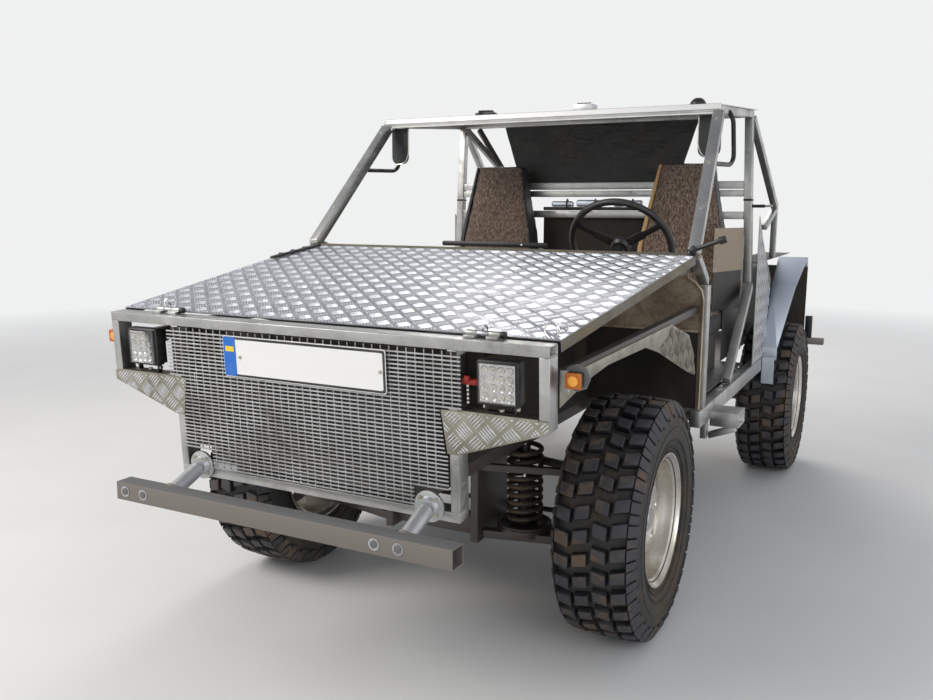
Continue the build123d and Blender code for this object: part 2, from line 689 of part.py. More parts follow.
save("seat_left", seat(SEAT_LEFT_X))
save("seat_right", seat(SEAT_RIGHT_X))
RUNNER_X = 150.0
RUNNER_HALF = 12.0
frames = []
for middle in (SEAT_LEFT_X, SEAT_RIGHT_X):
    for x in (middle - RUNNER_X, middle + RUNNER_X):
        frames.append(
            box(
                x - RUNNER_HALF, x + RUNNER_HALF,
                CUSHION_Y0 + 30, CUSHION_Y1 - 26,
                FLOOR_Z + SHEET + FIT, CUSHION_Z0 - FIT,
            )
        )
save("seat_frames", frames)

# Steering column
tilt = math.radians(WHEEL_TILT)
axis_dir = (0.0, math.cos(tilt), math.sin(tilt))


def on_column(distance):
    return tuple(WHEEL_HUB[i] + axis_dir[i] * distance for i in range(3))


column_long = (WHEEL_HUB[1] - FIREWALL_Y - SHEET) / math.cos(tilt)
column_foot = -column_long + COLUMN_R * math.tan(tilt) + 3 * FIT
save("steering_column", rod(on_column(column_foot), on_column(-22 - FIT), COLUMN_R))
wheel_plane = Plane(origin=on_column(-12), x_dir=(1, 0, 0), z_dir=axis_dir)
rim_outer = RegularPolygon(WHEEL_R, WHEEL_SIDES, major_radius=False)
rim_inner = RegularPolygon(WHEEL_R - WHEEL_RIM, WHEEL_SIDES, major_radius=False)
steering_wheel = extrude(wheel_plane * (rim_outer - rim_inner), 24)
for angle in (90, 210, 330):
    spoke_face = Pos(WHEEL_R / 2, 0) * Rectangle(WHEEL_R - 20, 26)
    steering_wheel = steering_wheel + extrude(wheel_plane * (Rot(0, 0, angle) * spoke_face), 10)
steering_wheel = steering_wheel + rod(on_column(-22), on_column(14), 36)
save("steering_wheel", steering_wheel)

# Mirror arm with its ball end, on the left corner of the screen rail
save(
    "mirror_arm",
    joined(
        box(744, 760, 1044, 1052 - FIT, 1168, 1202),
        rod((752, 1044, 1194), (838, 1044, 1226), 7, 8),
        Pos(842, 1044, 1228) * Box(20, 20, 20),
    ),
)

# Dark sheet behind the roof
sheet_top = ROOF_REAR_Z - 11
sheet_low = ROOF_REAR_Z - 317
save(
    "rear_sheet",
    front_plate(
        [(-478, sheet_top), (-380, sheet_low), (380, sheet_low), (478, sheet_top)],
        ROOF_REAR_Y + HEADER_D + FIT,
        ROOF_REAR_Y + HEADER_D + 8,
    ),
)

# Rear axle beam with its middle casing, and its springs and links
rear_axle = joined(
    rod((-640, REAR_AXLE_Y, AXLE_Z), (640, REAR_AXLE_Y, AXLE_Z), 42),
    shaft(-REAR_WHEEL_X - 45, REAR_WHEEL_X + 45, REAR_AXLE_Y, AXLE_Z, SPINDLE_R),
    Pos(0, REAR_AXLE_Y, AXLE_Z) * Box(210, 220, 220),
)
REAR_SPRING_X = 275.0
SEAT_TOP = AXLE_Z + 54
for side in (-1, 1):
    x = side * REAR_SPRING_X
    rear_axle = rear_axle + box(x - 60, x + 60, REAR_AXLE_Y - 60, REAR_AXLE_Y + 60, AXLE_Z + 30, SEAT_TOP)
save("rear_axle", rear_axle)
suspension = [
    coil(s * REAR_SPRING_X, REAR_AXLE_Y, SEAT_TOP + FIT, RAIL_Z0 - FIT, REAR_SPRING_TURNS) for s in (-1, 1)
]
for side in (-1, 1):
    suspension.append(bar((side * 420, REAR_AXLE_Y - 47, 350), (side * 420, 2240, 500), 34, 40))
    suspension.append(box(side * 420 - 20, side * 420 + 20, 2185, 2215, 480, SILL_Z0 + 10 - FIT))
save("rear_suspension", suspension)

# Bonnet: sloping sheet with side lips and hinge knuckles
bonnet_long = math.hypot(BONNET_REAR_Y - BONNET_FRONT_Y, BONNET_REAR_Z - BONNET_FRONT_Z)
bonnet_rise = math.degrees(math.atan2(BONNET_REAR_Z - BONNET_FRONT_Z, BONNET_REAR_Y - BONNET_FRONT_Y))
outline = [
    (-BONNET_FRONT_HALF, 0), (BONNET_FRONT_HALF, 0),
    (BONNET_REAR_HALF, bonnet_long), (-BONNET_REAR_HALF, bonnet_long),
]
inside = [
    (-BONNET_FRONT_HALF + SHEET, -10), (BONNET_FRONT_HALF - SHEET, -10),
    (BONNET_REAR_HALF - SHEET, bonnet_long - SHEET), (-BONNET_REAR_HALF + SHEET, bonnet_long - SHEET),
]
bonnet = flat_plate(outline, -LIP_H, 0) - flat_plate(inside, -LIP_H, -SHEET)
bonnet = Pos(0, BONNET_FRONT_Y, BONNET_FRONT_Z) * (Rot(bonnet_rise, 0, 0) * bonnet)
for side in (-1, 1):
    x = side * HINGE_X
    knuckle = rod((x - KNUCKLE_HALF, HINGE_Y, HINGE_Z), (x + KNUCKLE_HALF, HINGE_Y, HINGE_Z), HINGE_R, 10)
    tongue = box(x - 13, x + 13, HINGE_Y, BONNET_FRONT_Y + 26, HINGE_Z - 4, HINGE_Z + 1)
    bonnet = bonnet + knuckle + tongue
save("bonnet", bonnet)


# Knuckles: upright, spindle and steering arm
def knuckle_left():
    upright = box(
        KINGPIN_X - 16, KINGPIN_X + 20,
        FRONT_AXLE_Y - 28, FRONT_AXLE_Y + 28,
        low_z + 13 + BORE_CLEAR, top_z - 11 - BORE_CLEAR,
    )
    spindle = shaft(KINGPIN_X + 10, FRONT_WHEEL_X + 45, FRONT_AXLE_Y, AXLE_Z, SPINDLE_R)
    arm = bar((KINGPIN_X - 2, FRONT_AXLE_Y, STEER_ARM_Z), (ARM_TIP[0], ARM_TIP[1] + 12, STEER_ARM_Z), 26, 16)
    return joined(upright, spindle, arm)


save("knuckle_left", knuckle_left())
save("knuckle_right", other_side(knuckle_left()))
track_rod = rod((-ARM_TIP[0] - 10, ARM_TIP[1], ROD_Z), (ARM_TIP[0] + 10, ARM_TIP[1], ROD_Z), ROD_R)
for side in (-1, 1):
    joint_x = side * ARM_TIP[0]
    stud = rod((joint_x, ARM_TIP[1], ROD_Z), (joint_x, ARM_TIP[1], STEER_ARM_Z - 8 - FIT), 7)
    track_rod = track_rod + stud
save("track_rod", track_rod)


# Tyre: a ring of flat sides with staggered grooves that leave the lugs
# Each band of grooves: inner place, outer place and stagger as a share of the pitch
GROOVE_BANDS = (
    (-TYRE_HALF - 10, -CROWN_HALF / 3, 0.25),
    (-CROWN_HALF / 3, CROWN_HALF / 3, 0.75),
    (CROWN_HALF / 3, TYRE_HALF + 10, 0.25),
)


def tyre():
    bead_x = RIM_HALF - RIM_LIP - 1 - FIT
    half = [
        (bead_x, RIM_R + FIT), (bead_x, FLANGE_R + 4),
        (TYRE_HALF, TYRE_R - 108), (TYRE_HALF - 4, TYRE_R - 51), (CROWN_HALF, TYRE_R),
    ]
    body = ring_of_flats(half + [(-place, radius) for place, radius in reversed(half)], LUG_ROWS)
    floor = TYRE_R - LUG_DEPTH
    over = TYRE_R + 12
    narrow = GROOVE_FLOOR / 2
    wide = GROOVE_TOP / 2
    groove = [(-narrow, floor), (-wide, over), (wide, over), (narrow, floor)]
    pitch = 360.0 / LUG_ROWS
    grooves = [
        Rot(pitch * (row + stagger), 0, 0) * side_plate(groove, x0, x1)
        for x0, x1, stagger in GROOVE_BANDS
        for row in range(LUG_ROWS)
    ]
    return (body - joined(*grooves)).clean()


# Wheel: rim of flat sides with a flange, a drilled disc near its outer side and a hub over the spindle
def wheel():
    seat_x = RIM_HALF - RIM_LIP - 1
    inside = RIM_R - RIM_WALL
    section = [
        (-RIM_HALF, FLANGE_R), (-seat_x, RIM_R), (seat_x, RIM_R),
        (RIM_HALF - RIM_LIP, FLANGE_R), (RIM_HALF, FLANGE_R), (seat_x - 4, inside),
        (DISC_X + DISC_T, inside), (DISC_X + DISC_T, HUB_R - 10), (DISC_X, HUB_R - 10), (DISC_X, inside),
        (-seat_x + 4, inside),
    ]
    body = ring_of_flats(section, LUG_ROWS)
    hole = rod((DISC_X - 5, 0, 0), (DISC_X + DISC_T + 5, 0, 0), WHEEL_HOLE_R, 6)
    hole = Pos(0, 0, WHEEL_HOLE_RING) * hole
    pattern = [Rot(360.0 * (k + 0.5) / WHEEL_HOLES, 0, 0) * hole for k in range(WHEEL_HOLES)]
    body = joined(pocket(body, *pattern), rod((-5, 0, 0), (60, 0, 0), HUB_R, 12))
    return body - shaft(-6, 47, 0, 0, SPINDLE_R + BORE_CLEAR)


TYRE = tyre()
WHEEL = wheel()
for name, x, y, side in (
    ("front_left", FRONT_WHEEL_X, FRONT_AXLE_Y, 1),
    ("front_right", FRONT_WHEEL_X, FRONT_AXLE_Y, -1),
    ("rear_left", REAR_WHEEL_X, REAR_AXLE_Y, 1),
    ("rear_right", REAR_WHEEL_X, REAR_AXLE_Y, -1),
):
    turned_tyre = TYRE if side == 1 else other_side(TYRE)
    turned_wheel = WHEEL if side == 1 else other_side(WHEEL)
    save(f"tyre_{name}", Pos(side * x, y, AXLE_Z) * turned_tyre)
    save(f"wheel_{name}", Pos(side * x, y, AXLE_Z) * turned_wheel)
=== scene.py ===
"""Looks of a home-built open buggy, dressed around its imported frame.

Lengths are written in millimetres from the front face of the front frame, the floor and the middle line,
as the frame's own drawing has them, and spot() turns such a place into the row frame in metres.
"""

import logging
import math
import random
from collections.abc import Callable, Iterable
from dataclasses import dataclass
from enum import Enum

import bmesh
import bpy
from mathutils import Matrix, Vector


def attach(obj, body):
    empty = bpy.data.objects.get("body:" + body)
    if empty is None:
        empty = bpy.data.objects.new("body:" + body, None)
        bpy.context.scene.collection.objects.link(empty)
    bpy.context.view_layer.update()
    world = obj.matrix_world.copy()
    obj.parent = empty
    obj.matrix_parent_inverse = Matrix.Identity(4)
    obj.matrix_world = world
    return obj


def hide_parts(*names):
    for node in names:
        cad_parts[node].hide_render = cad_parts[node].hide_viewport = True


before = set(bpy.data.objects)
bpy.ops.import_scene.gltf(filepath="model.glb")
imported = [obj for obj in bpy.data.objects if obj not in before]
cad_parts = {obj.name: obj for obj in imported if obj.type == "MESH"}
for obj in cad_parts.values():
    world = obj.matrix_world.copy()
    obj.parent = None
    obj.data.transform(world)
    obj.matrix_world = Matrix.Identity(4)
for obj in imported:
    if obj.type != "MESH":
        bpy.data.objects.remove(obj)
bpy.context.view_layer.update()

MIDDLE_Y = 1591.5
LOG = logging.getLogger("buggy")
BACKDROP = (0.87, 0.875, 0.88)
X_AXIS = (1, 0, 0)
Y_AXIS = (0, 1, 0)
Z_AXIS = (0, 0, 1)
WHEEL_RADIUS = 376.0
FRONT_AXLE = 796.0
REAR_AXLE = 2891.0
FRONT_TRACK = 646.0
REAR_TRACK = 765.0
SPRING_X = 290.0
SAME_PLACE = 1e-6
FLAT = math.radians(0.6)
SHARP = math.radians(28)

Colour = tuple[float, float, float]
Place = tuple[float, float, float]
Socket = bpy.types.NodeSocket
Verts = list[bmesh.types.BMVert]
Outline = list[tuple[float, float]]


def spot(x: float, y: float, z: float) -> Vector:
    """A place on the drawing, in millimetres, as a point of the row frame.

    Args:
        x: Towards the vehicle's left.
        y: Rearwards from the front frame's face.
        z: Up from the ground.

    Returns:
        The same place in metres.
    """
    return Vector((x / 1000, (y - MIDDLE_Y) / 1000, z / 1000))


def mm(value: float) -> float:
    """A length in millimetres as metres."""
    return value / 1000


class Body(str, Enum):
    """The moving bodies that pieces ride on."""

    CHASSIS = "chassis"
    BONNET = "bonnet"
    LEFT_KNUCKLE = "left_knuckle"
    RIGHT_KNUCKLE = "right_knuckle"
    TRACK_ROD = "track_rod"
    STEERING = "steering_wheel"


class Side(Enum):
    """The two sides of the vehicle, by the sign of X."""

    LEFT = 1
    RIGHT = -1


# Finishes


class Nodes:
    """A node tree, with short calls for the nodes that the finishes share."""

    def __init__(self, tree: bpy.types.NodeTree) -> None:
        """Empties the tree."""
        self.tree = tree
        self.tree.nodes.clear()

    def node(self, kind: str, **values: object) -> bpy.types.Node:
        """A new node with some of its properties set.

        Args:
            kind: The node's type name.
            values: Properties of the node by name.

        Returns:
            The node.
        """
        made = self.tree.nodes.new(kind)
        for key, value in values.items():
            setattr(made, key, value)
        return made

    def plug(self, socket: Socket, value: object) -> None:
        """Links a socket to another, or sets it where the value is plain.

        Args:
            socket: The input.
            value: An output to link, or a number, a colour or a vector.
        """
        if isinstance(value, bpy.types.NodeSocket):
            self.tree.links.new(value, socket)
        elif isinstance(value, tuple) and len(value) == 3 and len(socket.default_value) == 4:
            socket.default_value = (*value, 1.0)
        else:
            socket.default_value = value

    def place(self, stretch: Colour = (1, 1, 1)) -> Socket:
        """Coordinates of the piece.

        Args:
            stretch: Factor on each axis.

        Returns:
            The mapped vector.
        """
        coordinates = self.node("ShaderNodeTexCoord")
        mapping = self.node("ShaderNodeMapping")
        mapping.inputs["Scale"].default_value = stretch
        self.plug(mapping.inputs["Vector"], coordinates.outputs["Object"])
        return mapping.outputs[0]

    def noise(self, at: Socket, scale: float, detail: float = 4, rough: float = 0.55,
              warp: float = 0) -> Socket:
        """Cloudy noise.

        Args:
            at: Where it is read.
            scale: Repeats per metre.
            detail: Octaves.
            rough: How strong the fine octaves are.
            warp: Distortion.

        Returns:
            The noise value from 0 to 1.
        """
        made = self.node("ShaderNodeTexNoise")
        values = {"Scale": scale, "Detail": detail, "Roughness": rough, "Distortion": warp}
        for name, value in values.items():
            made.inputs[name].default_value = value
        self.plug(made.inputs["Vector"], at)
        return made.outputs["Fac"]

    def cells(self, at: Socket, scale: float, jitter: float = 1.0) -> Socket:
        """Distance to the nearest point in a field of cells.

        Args:
            at: Where it is read.
            scale: Cells per metre.
            jitter: How far the cells leave their grid.

        Returns:
            The distance.
        """
        made = self.node("ShaderNodeTexVoronoi", feature="F1")
        made.inputs["Scale"].default_value = scale
        made.inputs["Randomness"].default_value = jitter
        self.plug(made.inputs["Vector"], at)
        return made.outputs["Distance"]

    def levels(self, value: Socket, low: float, high: float, out_low: float = 0,
               out_high: float = 1) -> Socket:
        """A value's range mapped to another and clamped.

        Args:
            value: What is mapped.
            low: Start of the range read.
            high: End of the range read.
            out_low: Result at the start.
            out_high: Result at the end.

        Returns:
            The mapped value.
        """
        made = self.node("ShaderNodeMapRange")
        self.plug(made.inputs["Value"], value)
        ends = {"From Min": low, "From Max": high, "To Min": out_low, "To Max": out_high}
        for name, number in ends.items():
            made.inputs[name].default_value = number
        return made.outputs[0]

    def math(self, operation: str, first: object, second: object = 0.0) -> Socket:
        """One arithmetic step on two values.

        Args:
            operation: The node's operation.
            first: Left value.
            second: Right value.

        Returns:
            The result.
        """
        made = self.node("ShaderNodeMath", operation=operation)
        self.plug(made.inputs[0], first)
        self.plug(made.inputs[1], second)
        return made.outputs[0]

    def times(self, first: object, second: object) -> Socket:
        """The product of two values."""
        return self.math("MULTIPLY", first, second)

    def mix(self, share: object, first: object, second: object) -> Socket:
        """Two colours mixed.

        Args:
            share: How much of the second.
            first: Colour at share 0.
            second: Colour at share 1.

        Returns:
            The mixed colour.
        """
        made = self.node("ShaderNodeMix", data_type="RGBA")
        self.plug(made.inputs[0], share)
        self.plug(made.inputs[6], first)
        self.plug(made.inputs[7], second)
        return made.outputs[2]

    def split(self, vector: Socket) -> tuple[Socket, Socket, Socket]:
        """The three parts of a vector.

        Args:
            vector: The vector.

        Returns:
            Its X, Y and Z.
        """
        made = self.node("ShaderNodeSeparateXYZ")
        self.plug(made.inputs[0], vector)
        return made.outputs[0], made.outputs[1], made.outputs[2]

    def seen(self) -> Socket:
        """Whether a ray comes from the camera, a reflection or glass.

        Returns:
            1 if it does, and 0 for the rays that light the vehicle.
        """
        path = self.node("ShaderNodeLightPath").outputs
        direct = self.math("MAXIMUM", path["Is Camera Ray"], path["Is Glossy Ray"])
        return self.math("MAXIMUM", direct, path["Is Transmission Ray"])

    def blend(self, share: Socket, first: Socket, second: Socket, output: bpy.types.Node) -> None:
        """Sends a mix of two shaders to an output.

        Args:
            share: How much of the second.
            first: Shader at share 0.
            second: Shader at share 1.
            output: The output node.
        """
        mixed = self.node("ShaderNodeMixShader")
        for socket, value in zip(mixed.inputs, (share, first, second)):
            self.plug(socket, value)
        self.plug(output.inputs[0], mixed.outputs[0])

    def bump(self, height: Socket, strength: float, distance: float, under: Socket | None = None) -> Socket:
        """A bump from a height, over another bump where one is given.

        Args:
            height: The height value.
            strength: Share of the full slope.
            distance: Height in metres at value 1.
            under: The normal that it starts from.

        Returns:
            The bent normal.
        """
        made = self.node("ShaderNodeBump")
        made.inputs["Strength"].default_value = strength
        made.inputs["Distance"].default_value = distance
        self.plug(made.inputs["Height"], height)
        if under is not None:
            self.plug(made.inputs["Normal"], under)
        return made.outputs[0]


class Palette(Nodes):
    """One material's nodes around its Principled shader."""

    def __init__(self, name: str) -> None:
        """Starts a material with the shader wired to its output.

        Args:
            name: The material's name.
        """
        self.material = bpy.data.materials.new(name)
        self.material.use_nodes = True
        super().__init__(self.material.node_tree)
        self.output = self.node("ShaderNodeOutputMaterial")
        self.shader = self.node("ShaderNodeBsdfPrincipled")
        self.plug(self.output.inputs[0], self.shader.outputs[0])

    def set(self, **values: object) -> None:
        """Sets or links inputs of the shader, with underscores for the spaces in their names."""
        for key, value in values.items():
            self.plug(self.shader.inputs[key.replace("_", " ")], value)


@dataclass(frozen=True)
class Finish:
    """What every finish shares.

    Attributes:
        name: The material's name.
        colour: Its main colour.
    """

    name: str
    colour: Colour

    def material(self) -> bpy.types.Material:
        """The finish as a material, made at its first use.

        Returns:
            The material.
        """
        known = bpy.data.materials.get(self.name)
        if known is None:
            p = Palette(self.name)
            self.wire(p)
            known = p.material
        return known

    def wire(self, p: Palette) -> None:
        """Adds the finish's own nodes."""
        raise NotImplementedError


@dataclass(frozen=True)
class Metal(Finish):
    """Bare, rolled or painted metal with mottling, fine scratches and grime.

    Attributes:
        dull: The colour of its mottled patches.
        grime: The colour of the dirt on it.
        metallic: 1 for bare metal, lower for paint.
        roughness: Roughness where it is clean.
        dirt: Share of the surface that dirt covers, from 0 to 1.
        grain: Stretch of the scratches on each axis.
        patch: Size of the mottling, in repeats per metre.
        dent: Height of the surface's waves in millimetres.
    """

    dull: Colour
    grime: Colour = (0.10, 0.075, 0.05)
    metallic: float = 1.0
    roughness: float = 0.34
    dirt: float = 0.25
    grain: Colour = (1, 1, 1)
    patch: float = 9.0
    dent: float = 0.25

    def wire(self, p: Palette) -> None:
        """Adds the finish's own nodes.

        Args:
            p: The material under work.
        """
        here = p.place()
        patches = p.levels(p.noise(here, self.patch, 5, 0.6, 0.4), 0.35, 0.68)
        streaks = p.noise(p.place(self.grain), 260, 3, 0.6)
        specks = p.noise(here, 95, 6, 0.7)
        dirt_low = 0.74 - 0.36 * self.dirt
        dirt = p.levels(p.math("ADD", p.noise(here, 5.5, 7, 0.68, 0.7), p.times(specks, 0.22)),
                        dirt_low, dirt_low + 0.2)
        base = p.mix(patches, self.colour, self.dull)
        base = p.mix(p.levels(streaks, 0.45, 0.8, 0, 0.35), base, self.dull)
        base = p.mix(p.times(dirt, min(0.9, 0.35 + self.dirt)), base, self.grime)
        rough = p.math("ADD", p.levels(streaks, 0.2, 0.8, self.roughness - 0.07, self.roughness + 0.1),
                       p.times(patches, 0.09))
        rough = p.math("ADD", rough, p.times(dirt, 0.3))
        waves = p.bump(p.noise(here, 7, 3, 0.5), 0.5, mm(self.dent) * 4)
        fine = p.bump(streaks, 0.12, 0.0004, waves)
        p.set(Base_Color=base, Roughness=rough, Normal=fine)
        if self.metallic < 1:
            p.set(Metallic=self.metallic)
        else:
            p.set(Metallic=p.levels(dirt, 0, 1, 1.0, 0.35))


@dataclass(frozen=True)
class Rubber(Finish):
    """Tyre rubber, dark with dried mud in its low places.

    Attributes:
        mud: Dried mud.
        cover: Share of mud, from 0 to 1.
    """

    mud: Colour
    cover: float = 0.4

    def wire(self, p: Palette) -> None:
        """Adds the finish's own nodes.

        Args:
            p: The material under work.
        """
        here = p.place()
        clumps = p.times(p.noise(here, 60, 5, 0.7), 0.25)
        cloud = p.math("ADD", p.noise(here, 6, 6, 0.65, 0.8), clumps)
        low = 0.80 - 0.42 * self.cover
        mud = p.levels(cloud, low, low + 0.16)
        fine = p.noise(here, 240, 4, 0.7)
        pale = tuple(2.1 * c + 0.006 for c in self.colour)
        base = p.mix(p.levels(fine, 0.3, 0.8, 0, 0.5), self.colour, pale)
        base = p.mix(p.times(mud, 0.85), base, self.mud)
        grain = p.bump(fine, 0.35, 0.0006)
        clods = p.bump(p.times(mud, p.noise(here, 130, 5, 0.75)), 0.8, 0.003, grain)
        p.set(Base_Color=base, Roughness=p.levels(mud, 0, 1, 0.62, 0.95), Normal=clods)


@dataclass(frozen=True)
class Plastic(Finish):
    """Moulded plastic or enamel with a fine skin and a little dust.

    Attributes:
        roughness: Roughness of its skin.
        dust: Share of dust, from 0 to 1.
        grain: Height of its skin in millimetres.
    """

    roughness: float = 0.42
    dust: float = 0.3
    grain: float = 0.08

    def wire(self, p: Palette) -> None:
        """Adds the finish's own nodes.

        Args:
            p: The material under work.
        """
        here = p.place()
        dust = p.levels(p.noise(here, 14, 6, 0.7, 0.4), 0.48, 0.78, 0, 0.55 * self.dust)
        base = p.mix(dust, self.colour, (0.30, 0.26, 0.21))
        skin = p.bump(p.noise(here, 900, 2, 0.5), 0.4, mm(self.grain))
        worn = p.levels(p.noise(here, 30, 4), 0.3, 0.7, self.roughness - 0.04, self.roughness + 0.06)
        rough = p.math("ADD", dust, worn)
        p.set(Base_Color=base, Roughness=rough, Normal=skin)


@dataclass(frozen=True)
class Lens(Finish):
    """Clear or tinted lamp glass.

    Attributes:
        clear: Share of light that passes.
        ribs: Height of the moulded ribs in millimetres.
    """

    clear: float = 0.9
    ribs: float = 0.0

    def wire(self, p: Palette) -> None:
        """Adds the finish's own nodes.

        Args:
            p: The material under work.
        """
        here = p.place()
        deep = tuple(0.6 * c for c in self.colour)
        tone = p.mix(p.levels(p.noise(here, 40, 4), 0.4, 0.8, 0, 0.3), self.colour, deep)
        p.set(Base_Color=tone, Roughness=0.08, IOR=1.46)
        p.shader.inputs["Transmission Weight"].default_value = self.clear
        if self.ribs:
            x, _, z = p.split(here)
            across, up = (p.math("SINE", p.times(part, 1400.0)) for part in (x, z))
            p.set(Normal=p.bump(p.times(across, up), 0.6, mm(self.ribs)))


@dataclass(frozen=True)
class LoopCloth(Finish):
    """Coarse looped seat cloth, brown and grey, dark between its short loops.

    Attributes:
        light: Colour of the loops.
        pitch: Size of a loop in millimetres.
    """

    light: Colour
    pitch: float = 6.0

    def wire(self, p: Palette) -> None:
        """Adds the finish's own nodes.

        Args:
            p: The material under work.
        """
        upright = p.place((1.0, 1.0, 0.30))
        loops = p.cells(upright, 1000 / self.pitch)
        swirl = p.noise(p.place((1, 1, 0.5)), 170, 5, 0.7, 1.4)
        wide = p.noise(p.place(), 5, 3)
        tone = p.times(p.levels(loops, 0.1, 0.75, 1, 0), p.levels(swirl, 0.38, 0.66))
        base = p.mix(tone, self.colour, self.light)
        base = p.mix(p.levels(wide, 0.35, 0.7, 0, 0.4), base, tuple(0.5 * c for c in self.colour))
        height = p.math("ADD", p.levels(loops, 0, 0.8, 1, 0), p.times(swirl, 0.8))
        p.set(Base_Color=base, Roughness=0.92, Normal=p.bump(height, 0.9, 0.0035))
        p.shader.inputs["Sheen Weight"].default_value = 0.25
        p.shader.inputs["Sheen Roughness"].default_value = 0.5


@dataclass(frozen=True)
class Canvas(Finish):
    """Dark proofed canvas with dust and creases.

    Attributes:
        stain: Dust and stains.
    """

    stain: Colour

    def wire(self, p: Palette) -> None:
        """Adds the finish's own nodes.

        Args:
            p: The material under work.
        """
        here = p.place()
        weave = p.cells(here, 700, 0.2)
        stain = p.levels(p.noise(here, 9, 7, 0.7, 1.2), 0.52, 0.72, 0, 0.6)
        base = p.mix(stain, self.colour, self.stain)
        folds = p.bump(p.noise(p.place((1, 1, 2.2)), 11, 5, 0.6, 0.8), 0.5, 0.012)
        threads = p.bump(weave, 0.3, 0.0005, folds)
        p.set(Base_Color=base, Roughness=p.levels(stain, 0, 1, 0.42, 0.8), Normal=threads)


@dataclass(frozen=True)
class Enamel(Finish):
    """Plain glossy enamel, as on a plate."""

    def wire(self, p: Palette) -> None:
        """Adds the finish's own nodes.

        Args:
            p: The material under work.
        """
        here = p.place()
        dust = p.levels(p.noise(here, 11, 6, 0.7, 0.5), 0.5, 0.8, 0, 0.25)
        p.set(Base_Color=p.mix(dust, self.colour, (0.42, 0.38, 0.32)),
              Roughness=p.levels(dust, 0, 0.25, 0.28, 0.5),
              Normal=p.bump(p.noise(here, 30, 2), 0.2, 0.0008))


TUBE = Metal("bare_tube", (0.54, 0.54, 0.53), (0.38, 0.38, 0.37), roughness=0.33, dirt=0.22,
             grain=(0.12, 0.12, 1.6))
# The bars are painted much lighter than the sheets they stand on: a painted highlight on the bars and
# painted shade between them.
TREAD = Metal("tread_bars", (0.80, 0.80, 0.83), (0.66, 0.67, 0.70), roughness=0.26, dirt=0.04,
              patch=16, dent=0.1)
TREAD_SHEET = Metal("tread_sheet", (0.44, 0.45, 0.48), (0.29, 0.30, 0.33), roughness=0.34, dirt=0.14,
                    patch=11, dent=0.5)
TREAD_SIDE = Metal("tread_plate_worn", (0.41, 0.395, 0.335), (0.27, 0.26, 0.21), roughness=0.36,
                   dirt=0.30, patch=14)
GRILLE = Metal("grille_wire", (0.64, 0.64, 0.65), (0.42, 0.42, 0.42), (0.12, 0.10, 0.08),
               roughness=0.36, dirt=0.34)
STEEL = Metal("bumper_steel", (0.045, 0.045, 0.048), (0.085, 0.080, 0.078), (0.09, 0.065, 0.045),
              metallic=0.85, roughness=0.36, dirt=0.25, grain=(0.06, 1, 1), patch=14)
PIPE = Metal("pipe_zinc", (0.62, 0.63, 0.64), (0.48, 0.49, 0.51), roughness=0.42, dirt=0.18)
BLACK_STEEL = Metal("chassis_black", (0.035, 0.033, 0.030), (0.06, 0.05, 0.04), (0.13, 0.095, 0.06),
                    metallic=0.3, roughness=0.55, dirt=0.62, patch=12)
SPRING_STEEL = Metal("spring_steel", (0.060, 0.052, 0.044), (0.10, 0.075, 0.052), (0.15, 0.11, 0.075),
                     metallic=0.4, roughness=0.46, dirt=0.5, patch=20)
IRON = Metal("engine_iron", (0.13, 0.125, 0.12), (0.2, 0.18, 0.16), metallic=0.7, roughness=0.5,
             dirt=0.55)
# Dark liner paint; the same colour also serves as painted shade on plates and sheets put where only shadow
# lies.
LINER_AND_SHADE = Metal("liner_paint_and_shade", (0.022, 0.018, 0.013), (0.013, 0.011, 0.008), (0.070, 0.048, 0.028),
              metallic=0.1, roughness=0.6, dirt=0.42, patch=7, dent=1.2)
# Olive paint of the cowl; on the bonnet's side lips the same colour is painted shade on the aluminium.
OLIVE = Metal("cowl_paint_and_lip_shade", (0.17, 0.155, 0.115), (0.11, 0.10, 0.075), (0.20, 0.15, 0.09),
              metallic=0.25, roughness=0.45, dirt=0.4, dent=0.8)
TRAY = Metal("tray_paint", (0.54, 0.44, 0.31), (0.38, 0.30, 0.21), (0.15, 0.10, 0.06), metallic=0.2,
             roughness=0.42, dirt=0.5, patch=8, dent=2.4)
FENDER = Metal("fender_sheet", (0.80, 0.85, 0.93), (0.62, 0.68, 0.78), (0.30, 0.25, 0.20),
               roughness=0.34, dirt=0.20, patch=6, dent=3.2)
FLOOR_SHEET = Metal("floor_sheet", (0.09, 0.085, 0.08), (0.13, 0.12, 0.11), metallic=0.5,
                    roughness=0.5, dirt=0.5)
ROOF_SHEET = Metal("roof_sheet", (0.30, 0.26, 0.21), (0.22, 0.19, 0.155), metallic=0.6, roughness=0.42,
                   dirt=0.35, patch=12)
RIM = Metal("rim_silver", (0.76, 0.74, 0.70), (0.58, 0.54, 0.47), (0.22, 0.16, 0.10), roughness=0.24,
            dirt=0.28)
CHROME = Metal("cap_chrome", (0.82, 0.82, 0.82), (0.66, 0.64, 0.60), roughness=0.12, dirt=0.18)
BRASSY = Metal("bolt_zinc", (0.68, 0.66, 0.58), (0.5, 0.47, 0.38), roughness=0.32, dirt=0.3)
TYRE = Rubber("tyre_tread", (0.008, 0.008, 0.010), (0.080, 0.055, 0.036), 0.30)
# The lug tops are a lighter blue-grey than the flanks: real dust, plus a painted sheen on the tops.
TYRE_TOP = Rubber("tyre_tops_dust_and_sheen", (0.034, 0.034, 0.039), (0.165, 0.112, 0.070), 0.46)
TYRE_SIDE = Rubber("tyre_side", (0.021, 0.020, 0.019), (0.095, 0.072, 0.050), 0.5)
BLACK = Plastic("black_plastic", (0.012, 0.012, 0.013), 0.40, 0.18)
WHEEL_SKIN = Plastic("wheel_skin", (0.018, 0.017, 0.018), 0.36, 0.25)
VINYL = Plastic("seat_vinyl", (0.020, 0.021, 0.025), 0.42, 0.35, 0.3)
